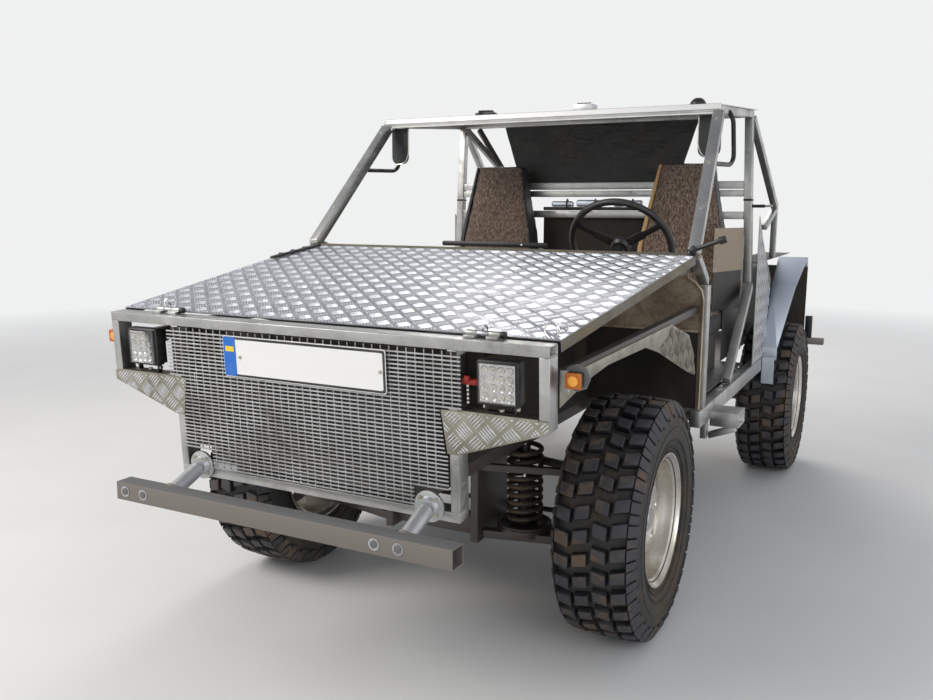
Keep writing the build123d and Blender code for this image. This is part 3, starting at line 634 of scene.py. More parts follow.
# Tan edging colour standing for low sunlight on the left seat's black vinyl edge: painted sunlight.
SUNLIT_TAN = Plastic("seat_edge_painted_sunlight", (0.50, 0.30, 0.13), 0.5, 0.4)
BOARD = Plastic("side_board", (0.36, 0.29, 0.215), 0.7, 0.5, 0.3)
RED = Plastic("red_clip", (0.45, 0.02, 0.015), 0.35, 0.3)
AMBER = Lens("amber_lens", (0.95, 0.26, 0.015), 0.45, 0.5)
CLEAR = Lens("clear_lens", (0.94, 0.95, 0.96), 0.95)
TAIL = Lens("red_lens", (0.62, 0.02, 0.02), 0.35, 0.5)
CLOTH = LoopCloth("loop_cloth", (0.095, 0.064, 0.046), (0.74, 0.54, 0.41), 5.0)
CANVAS = Canvas("rear_canvas", (0.020, 0.019, 0.018), (0.10, 0.07, 0.045))
WHITE = Enamel("plate_white", (0.86, 0.86, 0.86))
BLUE = Enamel("plate_blue", (0.01, 0.16, 0.62))
YELLOW = Enamel("plate_yellow", (0.95, 0.66, 0.03))
INK = Enamel("plate_black", (0.02, 0.02, 0.02))
GLOW = Enamel("diode_yellow", (0.95, 0.86, 0.55))
BULB = Enamel("lamp_middle", (0.95, 0.42, 0.06))


# Shaping


def edges_of(verts: Verts) -> set[bmesh.types.BMEdge]:
    """The edges that some vertices bound."""
    return {edge for vert in verts for edge in vert.link_edges}


def runs_along(edge: bmesh.types.BMEdge, axis: int) -> bool:
    """Whether an edge runs along an axis, 0 for X to 2 for Z."""
    return abs((edge.verts[0].co - edge.verts[1].co).normalized()[axis]) > 0.9


def square_to(axis: Vector, start: Vector | None = None) -> Vector:
    """A direction at right angles to an axis.

    Args:
        axis: The axis, of length one.
        start: A direction that it is near to, or none for upwards.

    Returns:
        The direction.
    """
    out = start
    if out is None:
        out = Vector(Z_AXIS if abs(axis.z) < 0.9 else X_AXIS)
    return (out - axis * out.dot(axis)).normalized()


def round_edges(bm: bmesh.types.BMesh, edges: Iterable[bmesh.types.BMEdge], width: float, rounds: int,
                clamp: bool = True) -> set[bmesh.types.BMVert]:
    """Rounds some edges of a mesh.

    Args:
        bm: The mesh under work.
        edges: The edges.
        width: Width of each rounded edge in millimetres.
        rounds: Steps in each.
        clamp: Whether the width gives way where there is too little room.

    Returns:
        The vertices of the faces made.
    """
    made = bmesh.ops.bevel(bm, geom=list(edges), offset=mm(width), offset_type="OFFSET", segments=rounds,
                           profile=0.5, affect="EDGES", material=-1, clamp_overlap=clamp)
    return {vert for face in made["faces"] for vert in face.verts}


def link(name: str, data: bpy.types.ID) -> bpy.types.Object:
    """A new object in the scene.

    Args:
        name: Its name.
        data: Its mesh, light or camera.

    Returns:
        The object.
    """
    made = bpy.data.objects.new(name, data)
    bpy.context.scene.collection.objects.link(made)
    return made


class Form:
    """One piece being shaped: a mesh under work and the operators that the pieces share."""

    def __init__(self) -> None:
        """Starts with an empty mesh and no finishes."""
        self.bm = bmesh.new()
        self.finishes: list[Finish] = []

    def paint(self, faces: Iterable[bmesh.types.BMFace], finish: Finish) -> None:
        """Gives faces a finish, which joins the piece's slots if it is new.

        Args:
            faces: The faces.
            finish: Their finish.
        """
        if finish not in self.finishes:
            self.finishes.append(finish)
        index = self.finishes.index(finish)
        for face in faces:
            face.material_index = index

    def _faces_of(self, verts: Verts) -> list[bmesh.types.BMFace]:
        """The faces that some vertices bound."""
        return list({face for vert in verts for face in vert.link_faces})

    def box(self, low: Place, high: Place, finish: Finish, bevel: float = 0.0, rounds: int = 1,
            turn: Matrix | None = None) -> Verts:
        """A box between two opposite corners on the drawing.

        Args:
            low: A corner in millimetres.
            high: The corner opposite to it.
            finish: Its finish.
            bevel: Width of its rounded edges in millimetres.
            rounds: Steps in each rounded edge.
            turn: A turn in the row frame, applied last.

        Returns:
            The box's vertices.
        """
        low, high = zip(*(sorted(pair) for pair in zip(low, high)))
        a, b = spot(*low), spot(*high)
        shape = Matrix.Translation((a + b) / 2) @ Matrix.Diagonal((*(b - a), 1))
        verts = bmesh.ops.create_cube(self.bm, size=1, matrix=shape)["verts"]
        if bevel:
            verts = self.soften(verts, bevel, rounds)
        return self._set(verts, finish, turn)

    def _set(self, verts: Verts, finish: Finish, turn: Matrix | None) -> Verts:
        """Turns a fresh solid into its place and paints it.

        Args:
            verts: The solid's vertices.
            finish: Its finish.
            turn: A turn in the row frame.

        Returns:
            The same vertices.
        """
        if turn is not None:
            bmesh.ops.transform(self.bm, matrix=turn, verts=verts)
        self.paint(self._faces_of(verts), finish)
        return verts

    def soften(self, verts: Verts, width: float, rounds: int = 1) -> Verts:
        """Rounds every edge of a solid, and keeps its faces' finishes.

        Args:
            verts: The solid's vertices.
            width: Width of the rounded edges in millimetres.
            rounds: Steps in each.

        Returns:
            The solid's vertices afterwards.
        """
        made = round_edges(self.bm, edges_of(verts), width, rounds)
        return list(made | {v for v in verts if v.is_valid})

    def open_tube(self, low: Place, high: Place, finish: Finish) -> None:
        """A square tube along X that is open at both ends.

        Args:
            low: A corner in millimetres.
            high: The corner opposite to it.
            finish: Its finish.
        """
        wall, depth, bevel = 3.0, 60.0, 3.0
        verts = self.box(low, high, finish)
        made = round_edges(self.bm, [e for e in edges_of(verts) if runs_along(e, 0)], bevel, 2, False)
        ends = [f for f in self._faces_of(list(made)) if abs(f.normal.x) > 0.9]
        bmesh.ops.inset_individual(self.bm, faces=ends, thickness=mm(wall), use_even_offset=True)
        bmesh.ops.inset_individual(self.bm, faces=ends, thickness=mm(0.2), depth=-mm(depth),
                                   use_even_offset=True)

    def repaint(self, finish: Finish, test: Callable[[float, float, float, Vector], bool]) -> None:
        """Gives a finish to the faces that pass a test.

        Args:
            finish: The finish.
            test: Function of the face's middle, in millimetres on the drawing, and its normal.
        """
        chosen = []
        for face in self.bm.faces:
            middle = face.calc_center_median()
            if test(middle.x * 1000, middle.y * 1000 + MIDDLE_Y, middle.z * 1000, face.normal):
                chosen.append(face)
        self.paint(chosen, finish)

    def rod(self, start: Place, end: Place, radius: float, finish: Finish, sides: int = 16,
            bevel: float = 0.0, tip: float | None = None, turn: Matrix | None = None) -> Verts:
        """A round rod or cone between two points on the drawing.

        Args:
            start: Middle of its first end in millimetres.
            end: Middle of its other end.
            radius: Radius in millimetres.
            finish: Its finish.
            sides: Sides of the circle.
            bevel: Width of its rounded end edges.
            tip: Radius at the other end, where it differs.
            turn: A turn in the row frame, applied last.

        Returns:
            The rod's vertices.
        """
        a, b = spot(*start), spot(*end)
        line = b - a
        aim = line.to_track_quat("Z", "Y").to_matrix().to_4x4()
        shape = Matrix.Translation((a + b) / 2) @ aim
        verts = bmesh.ops.create_cone(
            self.bm, cap_ends=True, cap_tris=False, segments=sides, radius1=mm(radius),
            radius2=mm(radius if tip is None else tip), depth=line.length, matrix=shape)["verts"]
        if bevel:
            rims = [e for e in edges_of(verts)
                    if len(e.link_faces) == 2 and any(len(f.verts) > 4 for f in e.link_faces)]
            verts = list(round_edges(self.bm, rims, bevel, 2) | {v for v in verts if v.is_valid})
        return self._set(verts, finish, turn)

    def _complete(self, before: set[bmesh.types.BMVert], finish: Finish, weld: bool = True) -> Verts:
        """Welds, turns outwards and paints what is new.

        Args:
            before: The vertices that were there before.
            finish: The finish of the rest.
            weld: Whether vertices at the same place become one.

        Returns:
            The new vertices.
        """
        if weld:
            new = [v for v in self.bm.verts if v not in before]
            bmesh.ops.remove_doubles(self.bm, verts=new, dist=SAME_PLACE)
        made = [v for v in self.bm.verts if v not in before]
        faces = self._faces_of(made)
        bmesh.ops.recalc_face_normals(self.bm, faces=faces)
        self.paint(faces, finish)
        return made

    def lathe(self, profile: Outline, centre: Place, finish: Finish, steps: int = 48,
              axis: Place = X_AXIS, closed: bool = True) -> Verts:
        """A ring or disc turned about an axis from a profile.

        Args:
            profile: Pairs of place along the axis and radius, in millimetres.
            centre: Where the axis starts, on the drawing.
            finish: Its finish.
            steps: Steps around.
            axis: Direction of the axis.
            closed: Whether the profile's last point joins its first.

        Returns:
            The vertices made.
        """
        direction = Vector(axis).normalized()
        out = square_to(direction)
        base = spot(*centre)
        line = [self.bm.verts.new(base + direction * mm(along) + out * mm(radius))
                for along, radius in profile]
        pairs = list(zip(line, line[1:])) + ([(line[-1], line[0])] if closed else [])
        edges = [self.bm.edges.new(pair) for pair in pairs]
        before = set(self.bm.verts) - set(line)
        bmesh.ops.spin(self.bm, geom=line + edges, cent=base, axis=direction, angle=math.tau, steps=steps,
                       use_merge=True, use_duplicate=False)
        return self._complete(before, finish)

    def sweep_ring(self, centre: Vector, axis: Vector, radius: float, wire: float, finish: Finish,
                   steps: int = 48, sides: int = 10, angle: float = 360.0, start: Vector | None = None,
                   rise: float = 0.0) -> Verts:
        """A round wire swept around an axis: a ring, a hoop or a coil.

        Args:
            centre: Middle of the sweep in the row frame.
            axis: Axis of the sweep.
            radius: Radius to the wire's middle in millimetres.
            wire: Radius of the wire in millimetres.
            finish: Its finish.
            steps: Steps around in all.
            sides: Sides of the wire.
            angle: Degrees swept.
            start: Direction from the axis to the start.
            rise: Travel along the axis over the whole sweep, in millimetres.

        Returns:
            The vertices made.
        """
        axis = axis.normalized()
        out = square_to(axis, start)
        tangent = axis.cross(out)
        facing = Matrix((out, axis, tangent)).transposed().to_4x4()
        at = Matrix.Translation(centre + out * mm(radius)) @ facing
        before = set(self.bm.verts)
        whole = abs(angle - 360) < 1e-6 and not rise
        circle = bmesh.ops.create_circle(self.bm, cap_ends=not whole, segments=sides, radius=mm(wire),
                                         matrix=at)["verts"]
        geometry = self._faces_of(circle) + circle + list(edges_of(circle))
        bmesh.ops.spin(self.bm, geom=geometry, cent=centre, axis=axis, dvec=axis * mm(rise) / steps,
                       angle=math.radians(angle), steps=steps, use_merge=whole, use_duplicate=False)
        return self._complete(before, finish)

    def pipe(self, points: list[Place], radius: float, finish: Finish, sides: int = 10,
             bend: float = 35.0) -> None:
        """A round bar bent along some points, with closed ends.

        Args:
            points: Its corners in millimetres.
            radius: Its radius.
            finish: Its finish.
            sides: Sides of its section.
            bend: How far from a corner a bend starts.
        """
        corners = [spot(*p) for p in points]
        path = [corners[0]]
        for before, here, after in zip(corners, corners[1:], corners[2:]):
            reach = min(mm(bend), 0.45 * (here - before).length, 0.45 * (after - here).length)
            start = here + (before - here).normalized() * reach
            end = here + (after - here).normalized() * reach
            for k in range(5):
                t = k / 4
                path.append(start * (1 - t) ** 2 + here * 2 * t * (1 - t) + end * t * t)
        path.append(corners[-1])
        line = (path[1] - path[0]).normalized()
        facing = line.to_track_quat("Z", "Y")
        rings: list[list[bmesh.types.BMEdge]] = []
        known = set(self.bm.verts)
        for k, place in enumerate(path):
            ahead = path[min(k + 1, len(path) - 1)] - path[max(k - 1, 0)]
            facing = line.rotation_difference(ahead.normalized()) @ facing
            line = ahead.normalized()
            at = Matrix.Translation(place) @ facing.to_matrix().to_4x4()
            ends = k in (0, len(path) - 1)
            ring = bmesh.ops.create_circle(self.bm, cap_ends=ends, segments=sides, radius=mm(radius),
                                           matrix=at)["verts"]
            rings.append(list(edges_of(ring)))
        for first, second in zip(rings, rings[1:]):
            bmesh.ops.bridge_loops(self.bm, edges=first + second)
        self._complete(known, finish, False)

    def column(self, low: float, high: float, shape: Callable[[float], tuple[float, ...]], finish: Finish,
               cuts: int = 7) -> None:
        """An upright closed block whose section follows its height.

        Args:
            low: Height of its foot in millimetres.
            high: Height of its top.
            shape: Function of the height that gives x0, x1, y0 and y1.
            finish: Its finish.
            cuts: Sections between foot and top.
        """
        verts = bmesh.ops.create_cube(self.bm, size=2)["verts"]
        before = set(self.bm.verts) - set(verts)
        upright = [e for e in edges_of(verts) if runs_along(e, 2)]
        bmesh.ops.subdivide_edges(self.bm, edges=upright, cuts=cuts, use_grid_fill=True)
        made = [v for v in self.bm.verts if v not in before]
        for vert in made:
            z = low + (high - low) * (vert.co.z + 1) / 2
            x0, x1, y0, y1 = shape(z)
            vert.co = spot(x0 if vert.co.x < 0 else x1, y0 if vert.co.y < 0 else y1, z)
        self.paint(self._faces_of(made), finish)

    def stamp(self, mesh: bpy.types.Mesh, places: list[Matrix], *finishes: Finish) -> None:
        """Adds a small mesh at many places.

        Args:
            mesh: What is repeated.
            places: Where it goes, in the row frame.
            finishes: Its finish, or one for each of its material slots.
        """
        start = len(self.bm.faces)
        for place in places:
            copy = mesh.copy()
            copy.transform(place)
            self.bm.from_mesh(copy)
            bpy.data.meshes.remove(copy)
        self.bm.faces.ensure_lookup_table()
        groups: dict[int, list[bmesh.types.BMFace]] = {}
        for face in self.bm.faces[start:]:
            groups.setdefault(face.material_index if len(finishes) > 1 else 0, []).append(face)
        for index, faces in groups.items():
            self.paint(faces, finishes[index])

    def add_node(self, node: str, finish: Finish, bevel: float) -> None:
        """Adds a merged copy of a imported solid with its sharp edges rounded.

        Args:
            node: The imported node.
            finish: Its finish.
            bevel: Width of the rounded edges in millimetres.
        """
        copy = bmesh.new()
        copy.from_mesh(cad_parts[node].data)
        bmesh.ops.remove_doubles(copy, verts=copy.verts, dist=SAME_PLACE)
        bmesh.ops.dissolve_limit(copy, angle_limit=FLAT, verts=copy.verts, edges=copy.edges)
        edges = [e for e in copy.edges if len(e.link_faces) == 2 and e.calc_face_angle(0) > SHARP]
        if edges:
            round_edges(copy, edges, bevel, 2)
        made = bpy.data.meshes.new("work")
        copy.to_mesh(made)
        copy.free()
        self.stamp(made, [Matrix.Identity(4)], finish)
        bpy.data.meshes.remove(made)

    def mesh(self, name: str) -> bpy.types.Mesh:
        """The work as a mesh without finishes, after which the form is used up.

        Args:
            name: The mesh's name.

        Returns:
            The mesh.
        """
        made = bpy.data.meshes.new(name)
        self.bm.to_mesh(made)
        self.bm.free()
        return made

    def finish(self, name: str, slot: str | None = None, replaces: tuple[str, ...] = (),
               body: str = Body.CHASSIS, smooth: float = 32.0) -> bpy.types.Object:
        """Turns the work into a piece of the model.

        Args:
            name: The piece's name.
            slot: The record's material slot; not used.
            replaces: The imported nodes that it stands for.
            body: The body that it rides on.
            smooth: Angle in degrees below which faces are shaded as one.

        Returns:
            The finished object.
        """
        mesh = self.mesh(name)
        for finish in self.finishes:
            mesh.materials.append(finish.material())
        mesh.shade_smooth()
        mesh.set_sharp_from_angle(angle=math.radians(smooth))
        obj = link(name, mesh)
        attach(obj, body.value if isinstance(body, Body) else body)
        if replaces:
            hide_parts(*replaces)
        LOG.info("%s: %d faces on %s", name, len(mesh.polygons), body)
        return obj


def dress(node: str, name: str, finish: Finish, slot: str, bevel: float, body: Body = Body.CHASSIS) -> None:
    """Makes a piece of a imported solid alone.

    Args:
        node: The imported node.
        name: The piece's name.
        finish: Its finish.
        slot: The record's material slot.
        bevel: Width of its rounded edges in millimetres.
        body: The body that it rides on.
    """
    form = Form()
    form.add_node(node, finish, bevel)
    form.finish(name, slot, (node,), body)


# Sub-assemblies


@dataclass(frozen=True)
class TreadPattern:
    """Raised bars in groups of five that turn by a quarter from group to group.

    Attributes:
        pitch: Distance between groups of the same turn, in millimetres.
        bar_long: Length of a bar.
        bar_wide: Width of a bar.
        bar_high: Height of a bar.
        gap: Distance between bars.
        shortest: Share of a bar that has to be inside the edge for it to be kept.
    """

    pitch: float = 62.0
    bar_long: float = 40.0
    bar_wide: float = 4.8
    bar_high: float = 2.3
    gap: float = 7.4
    shortest: float = 0.22

    def bar(self) -> bpy.types.Mesh:
        """One bar with sloped flanks and a narrow top.

        Returns:
            The bar, lying along X in metres.
        """
        form = Form()
        shape = Matrix.Diagonal((mm(self.bar_long) / 2, mm(self.bar_wide) / 2, 1, 1))
        verts = bmesh.ops.create_cone(form.bm, cap_ends=True, cap_tris=False, segments=6, radius1=1.0,
                                      radius2=0.55, depth=mm(self.bar_high), matrix=shape)["verts"]
        bmesh.ops.translate(form.bm, vec=(0, 0, mm(self.bar_high) / 2 - 0.0001), verts=verts)
        return form.mesh("bar")

    def places(self, outline: Outline, plate: Matrix, margin: float = 2.0) -> list[Matrix]:
        """Where the bars go inside a convex outline.

        Args:
            outline: Corners on the plate in millimetres, anticlockwise.
            plate: The plate's own frame in the row frame.
            margin: How far a bar's middle stays inside the edge.

        Returns:
            One matrix for each bar.
        """
        found = []
        xs = [p[0] for p in outline]
        ys = [p[1] for p in outline]
        half = self.pitch / 2
        rows = int((max(ys) - min(ys)) / half) + 3
        columns = int((max(xs) - min(xs)) / half) + 3
        for row in range(-1, rows):
            for column in range(-1, columns):
                if (row + column) % 2:
                    continue
                turn = math.radians(45 if row % 2 else -45)
                across = Vector((-math.sin(turn), math.cos(turn)))
                middle = Vector((min(xs) + column * half, min(ys) + row * half))
                for k in range(-2, 3):
                    at = middle + across * (k * self.gap)
                    line = Vector((math.cos(turn), math.sin(turn)))
                    start, end = self._cut(at, line, outline, margin)
                    share = (end - start) / self.bar_long
                    if share >= self.shortest:
                        at = at + line * ((start + end) / 2)
                        move = plate @ Matrix.Translation((mm(at.x), mm(at.y), 0))
                        found.append(move @ Matrix.Rotation(turn, 4, "Z")
                                     @ Matrix.Diagonal((share, 1, 1, 1)))
        return found

    def _cut(self, at: Vector, line: Vector, outline: Outline,
             margin: float) -> tuple[float, float]:
        """The stretch of a bar that is inside a convex anticlockwise outline.

        Args:
            at: The bar's middle.
            line: Its direction.
            outline: Corners of the plate.
            margin: How far the bar stays inside the edge.

        Returns:
            Its start and end along the line, from its middle.
        """
        start, end = -self.bar_long / 2, self.bar_long / 2
        for (x0, y0), (x1, y1) in zip(outline, outline[1:] + outline[:1]):
            edge = Vector((x1 - x0, y1 - y0))
            inward = Vector((-edge.y, edge.x)).normalized()
            depth = (at - Vector((x0, y0))).dot(inward) - margin
            slope = line.dot(inward)
            if abs(slope) < 1e-6:
                if depth < 0:
                    return 0.0, 0.0
            elif slope > 0:
                start = max(start, -depth / slope)
            else:
                end = min(end, -depth / slope)
        return start, max(start, end)


def plate_frame(origin: Vector, along: Vector, up: Vector) -> Matrix:
    """The frame of a flat plate.

    Args:
        origin: A point on the plate in the row frame.
        along: Direction of its X.
        up: Direction of its Y.

    Returns:
        A matrix whose Z is the plate's outward normal.
    """
    x = along.normalized()
    z = x.cross(up).normalized()
    y = z.cross(x)
    made = Matrix((x, y, z)).transposed().to_4x4()
    made.translation = origin
    return made


LEAN_AXLE = spot(0, 0, 1022)
LEAN = (Matrix.Translation(LEAN_AXLE) @ Matrix.Rotation(math.radians(3), 4, "X")
        @ Matrix.Translation(-LEAN_AXLE))
TO_ORIGIN = Matrix.Translation(-spot(0, 0, 0))


@dataclass
class Bonnet:
    """The tread plate bonnet with its side lips, hinges and wire rings.

    Attributes:
        front: Place and half width of its front edge, as y, z and half.
        rear: The same for its rear edge.
        pattern: The raised bars.
    """

    front: tuple[float, float, float] = (58.0, 1030.0, 697.0)
    rear: tuple[float, float, float] = (1037.0, 1176.0, 764.0)
    pattern: TreadPattern = TreadPattern()

    def build(self) -> None:
        """Builds the sheet, its bars and the small parts on it."""
        form = Form()
        form.add_node("bonnet", TREAD_SHEET, 1.0)
        # The bonnet's side lips take the dark olive colour as painted shade on the aluminium.
        form.repaint(OLIVE, lambda x, y, z, n: abs(n.x) > 0.7)
        (y0, z0, h0), (y1, z1, h1) = self.front, self.rear
        length = math.hypot(y1 - y0, z1 - z0)
        plate = plate_frame(spot(0, y0, z0), Vector(X_AXIS), spot(0, y1, z1) - spot(0, y0, z0))
        outline = [(-h0, 0), (h0, 0), (h1, length), (-h1, length)]
        form.stamp(self.pattern.bar(), self.pattern.places(outline, plate, 1.0), TREAD)
        form.finish("bonnet_plate", "tread_plate", ("bonnet",), Body.BONNET)
        self._rings(plate)

    def _rings(self, plate: Matrix) -> None:
        """Wire rings near the front corners and the strap catch at the rear right.

        Args:
            plate: The plate's own frame.
        """
        form = Form()
        for x, y, tilt in ((666, 20, 20), (688, 30, 62), (-526, 16, 70)):
            centre = plate @ Vector((mm(x), mm(y), mm(16)))
            axis = Matrix.Rotation(math.radians(tilt), 3, "Z") @ Vector((0, 1, 0))
            form.sweep_ring(centre, axis, 17, 2.2, CHROME, 20, 8, 300, Vector((0.3, 0, -1)))
        form.finish("bonnet_rings", body=Body.BONNET)
        strap = Form()
        for k in range(4):
            at = plate @ Matrix.Translation((mm(-722 + 8 * k), mm(740 + 62 * k), mm(7)))
            turn = at @ TO_ORIGIN
            strap.box((-11, -28, -4), (11, 28, 4), BLACK, 3, 2, turn)
            strap.rod((-14, 31, 1), (14, 31, 1), 6, BLACK, 12, 1, turn=turn)
        strap.finish("bonnet_strap", body=Body.BONNET)


@dataclass
class FrontFrame:
    """The leaning front frame with lamp gussets, hinge barrels and side posts.

    Attributes:
        pattern: The raised bars.
    """

    pattern: TreadPattern = TreadPattern()

    def build(self) -> None:
        """Builds the tubes, the gussets with their bars, and the hinge pins."""
        dress("front_frame", "front_tubes", TUBE, "raw_aluminium", 1.4)
        gusset = Form()
        gusset.add_node("lamp_gussets", TREAD_SIDE, 0.8)
        for side in Side:
            self._gusset_bars(gusset, side)
        gusset.finish("gusset_plates", "tread_plate", ("lamp_gussets",))
        pins = Form()
        for side in Side:
            x = side.value * 506
            pins.rod((x - 47, 47, 1034), (x + 47, 47, 1034), 3.4, BLACK, 10)
            pins.rod((x + 45, 47, 1034), (x + 58, 47, 1034), 8.6, BLACK, 14, 1.5)
            pins.sweep_ring(spot(x + 4, 44, 1047), Vector((0, 1, 0.3)), 7, 1.3, BLACK, 16, 6, 250)
        pins.finish("hinge_pins")

    def _gusset_bars(self, form: Form, side: Side) -> None:
        """Bars on one gusset, cut to its slanted outline.

        Args:
            form: The piece being shaped.
            side: Which gusset it is.
        """
        s = side.value
        face = LEAN @ plate_frame(spot(0, -3.4, 0), Vector(X_AXIS), Vector(Z_AXIS))
        corners = [(429, 741), (458, 741), (691, 822), (691, 848), (413, 848)]
        if s < 0:
            corners = [(-x, z) for x, z in reversed(corners)]
        form.stamp(self.pattern.bar(), self.pattern.places(corners, face, 0.5), TREAD)


@dataclass
class Grille:
    """The grille: flat slats in front of thin upright ribs.

    Attributes:
        pitch: Distance between slats.
        slat: Height of a slat.
        rib_pitch: Distance between ribs.
    """

    pitch: float = 10.4
    slat: float = 4.6
    rib_pitch: float = 74 / 3

    def half_width(self, z: float) -> float:
        """Half the grille's width at a height.

        Args:
            z: The height on the drawing.

        Returns:
            The half width in millimetres.
        """
        if z > 851:
            return 470.0
        if z > 738:
            return 410 + (851 - z) * 14 / 113
        return 430.0 if z > 642 else 332.0

    def build(self) -> None:
        """Builds the slats, the ribs and the core behind them."""
        form = Form()
        z = 597.0
        while z < 992:
            half = self.half_width(z)
            low, high = z - self.slat / 2, z + self.slat / 2
            form.box((-half, -6.3, low), (half, -3.2, high), GRILLE, 1.3, 2, LEAN)
            z += self.pitch
        for k in range(-18, 19):
            x = k * self.rib_pitch
            low = 593 if abs(x) < 330 else (645 if abs(x) < 409 else 853)
            form.box((x - 1.1, -3.4, low), (x + 1.1, -0.3, 994), GRILLE, turn=LEAN)
        # Thin dark plates behind the grille's upper outer ends are painted shade, so the view through stays
        # dark.
        for s in (-1, 1):
            form.box((s * 430, -0.28, 855), (s * 458, -0.06, 993), LINER_AND_SHADE, turn=LEAN)
        form.finish("grille_slats", "grille_metal", ("grille",))
        core = Form()
        core.add_node("radiator", BLACK_STEEL, 2)
        for k in range(38):
            x = -296 + 16 * k
            core.box((x - 0.6, 57, 660), (x + 0.6, 62, 970), IRON)
        for z in (655, 975):
            core.box((-308, 56, z - 14), (308, 128, z + 14), BLACK_STEEL, 5, 2)
        # Dark plates beside the radiator core are painted shade, so the view through the grille's sides
        # stays dark.
        for s in (-1, 1):
            core.box((s * 302, 57, 645), (s * 408, 59, 985), LINER_AND_SHADE)
            core.box((s * 408, 57, 645), (s * 428, 59, 851), LINER_AND_SHADE)
            core.box((s * 408, 57, 853), (s * 504, 59, 985), LINER_AND_SHADE)
        core.finish("radiator_core", "radiator_black", ("radiator",))


@dataclass
class Plate:
    """The blank number plate with its border, blue end and screws.

    Attributes:
        middle: Place of its middle across the vehicle.
        half: Half its length.
        low: Height of its lower edge.
        high: Height of its upper edge.
    """

    middle: float = 8.0
    half: float = 260.0
    low: float = 873.0
    high: float = 985.0

    def build(self) -> None:
        """Builds the plate in thin layers."""
        form = Form()
        m, h = self.middle, self.half
        layers = (
            (m - h, m + h, self.low, self.high, -14.2, -12.6, WHITE, 7),
            (m - h + 2.0, m + h - 2.0, self.low + 2.0, self.high - 2.0, -14.9, -14.0, INK, 6),
            (m - h + 8.5, m + h - 8.5, self.low + 8.5, self.high - 8.5, -15.3, -14.6, WHITE, 5),
            (m - h + 2.5, m - h + 44, self.low + 2.5, self.high - 2.5, -15.8, -15.0, BLUE, 5),
            (m - h + 9, m - h + 38, self.low + 70, self.low + 84, -16.1, -15.6, YELLOW, 1),
        )
        for x0, x1, z0, z1, y0, y1, finish, corner in layers:
            verts = form.box((x0, y0, z0), (x1, y1, z1), finish)
            round_edges(form.bm, [e for e in edges_of(verts) if runs_along(e, 1)], corner, 5, False)
        for x in (m - h + 58, m + h - 16):
            form.rod((x, -17.6, 929), (x, -15.2, 929), 5, BRASSY, 14, 0.8)
        for x in (-200, 216):
            for z in (900, 958):
                form.rod((x, -12.6, z), (x, -6.4, z), 7, BLACK, 12)
        bmesh.ops.transform(form.bm, matrix=LEAN, verts=form.bm.verts)
        form.finish("blank_plate", "plate_white", ("number_plate",))


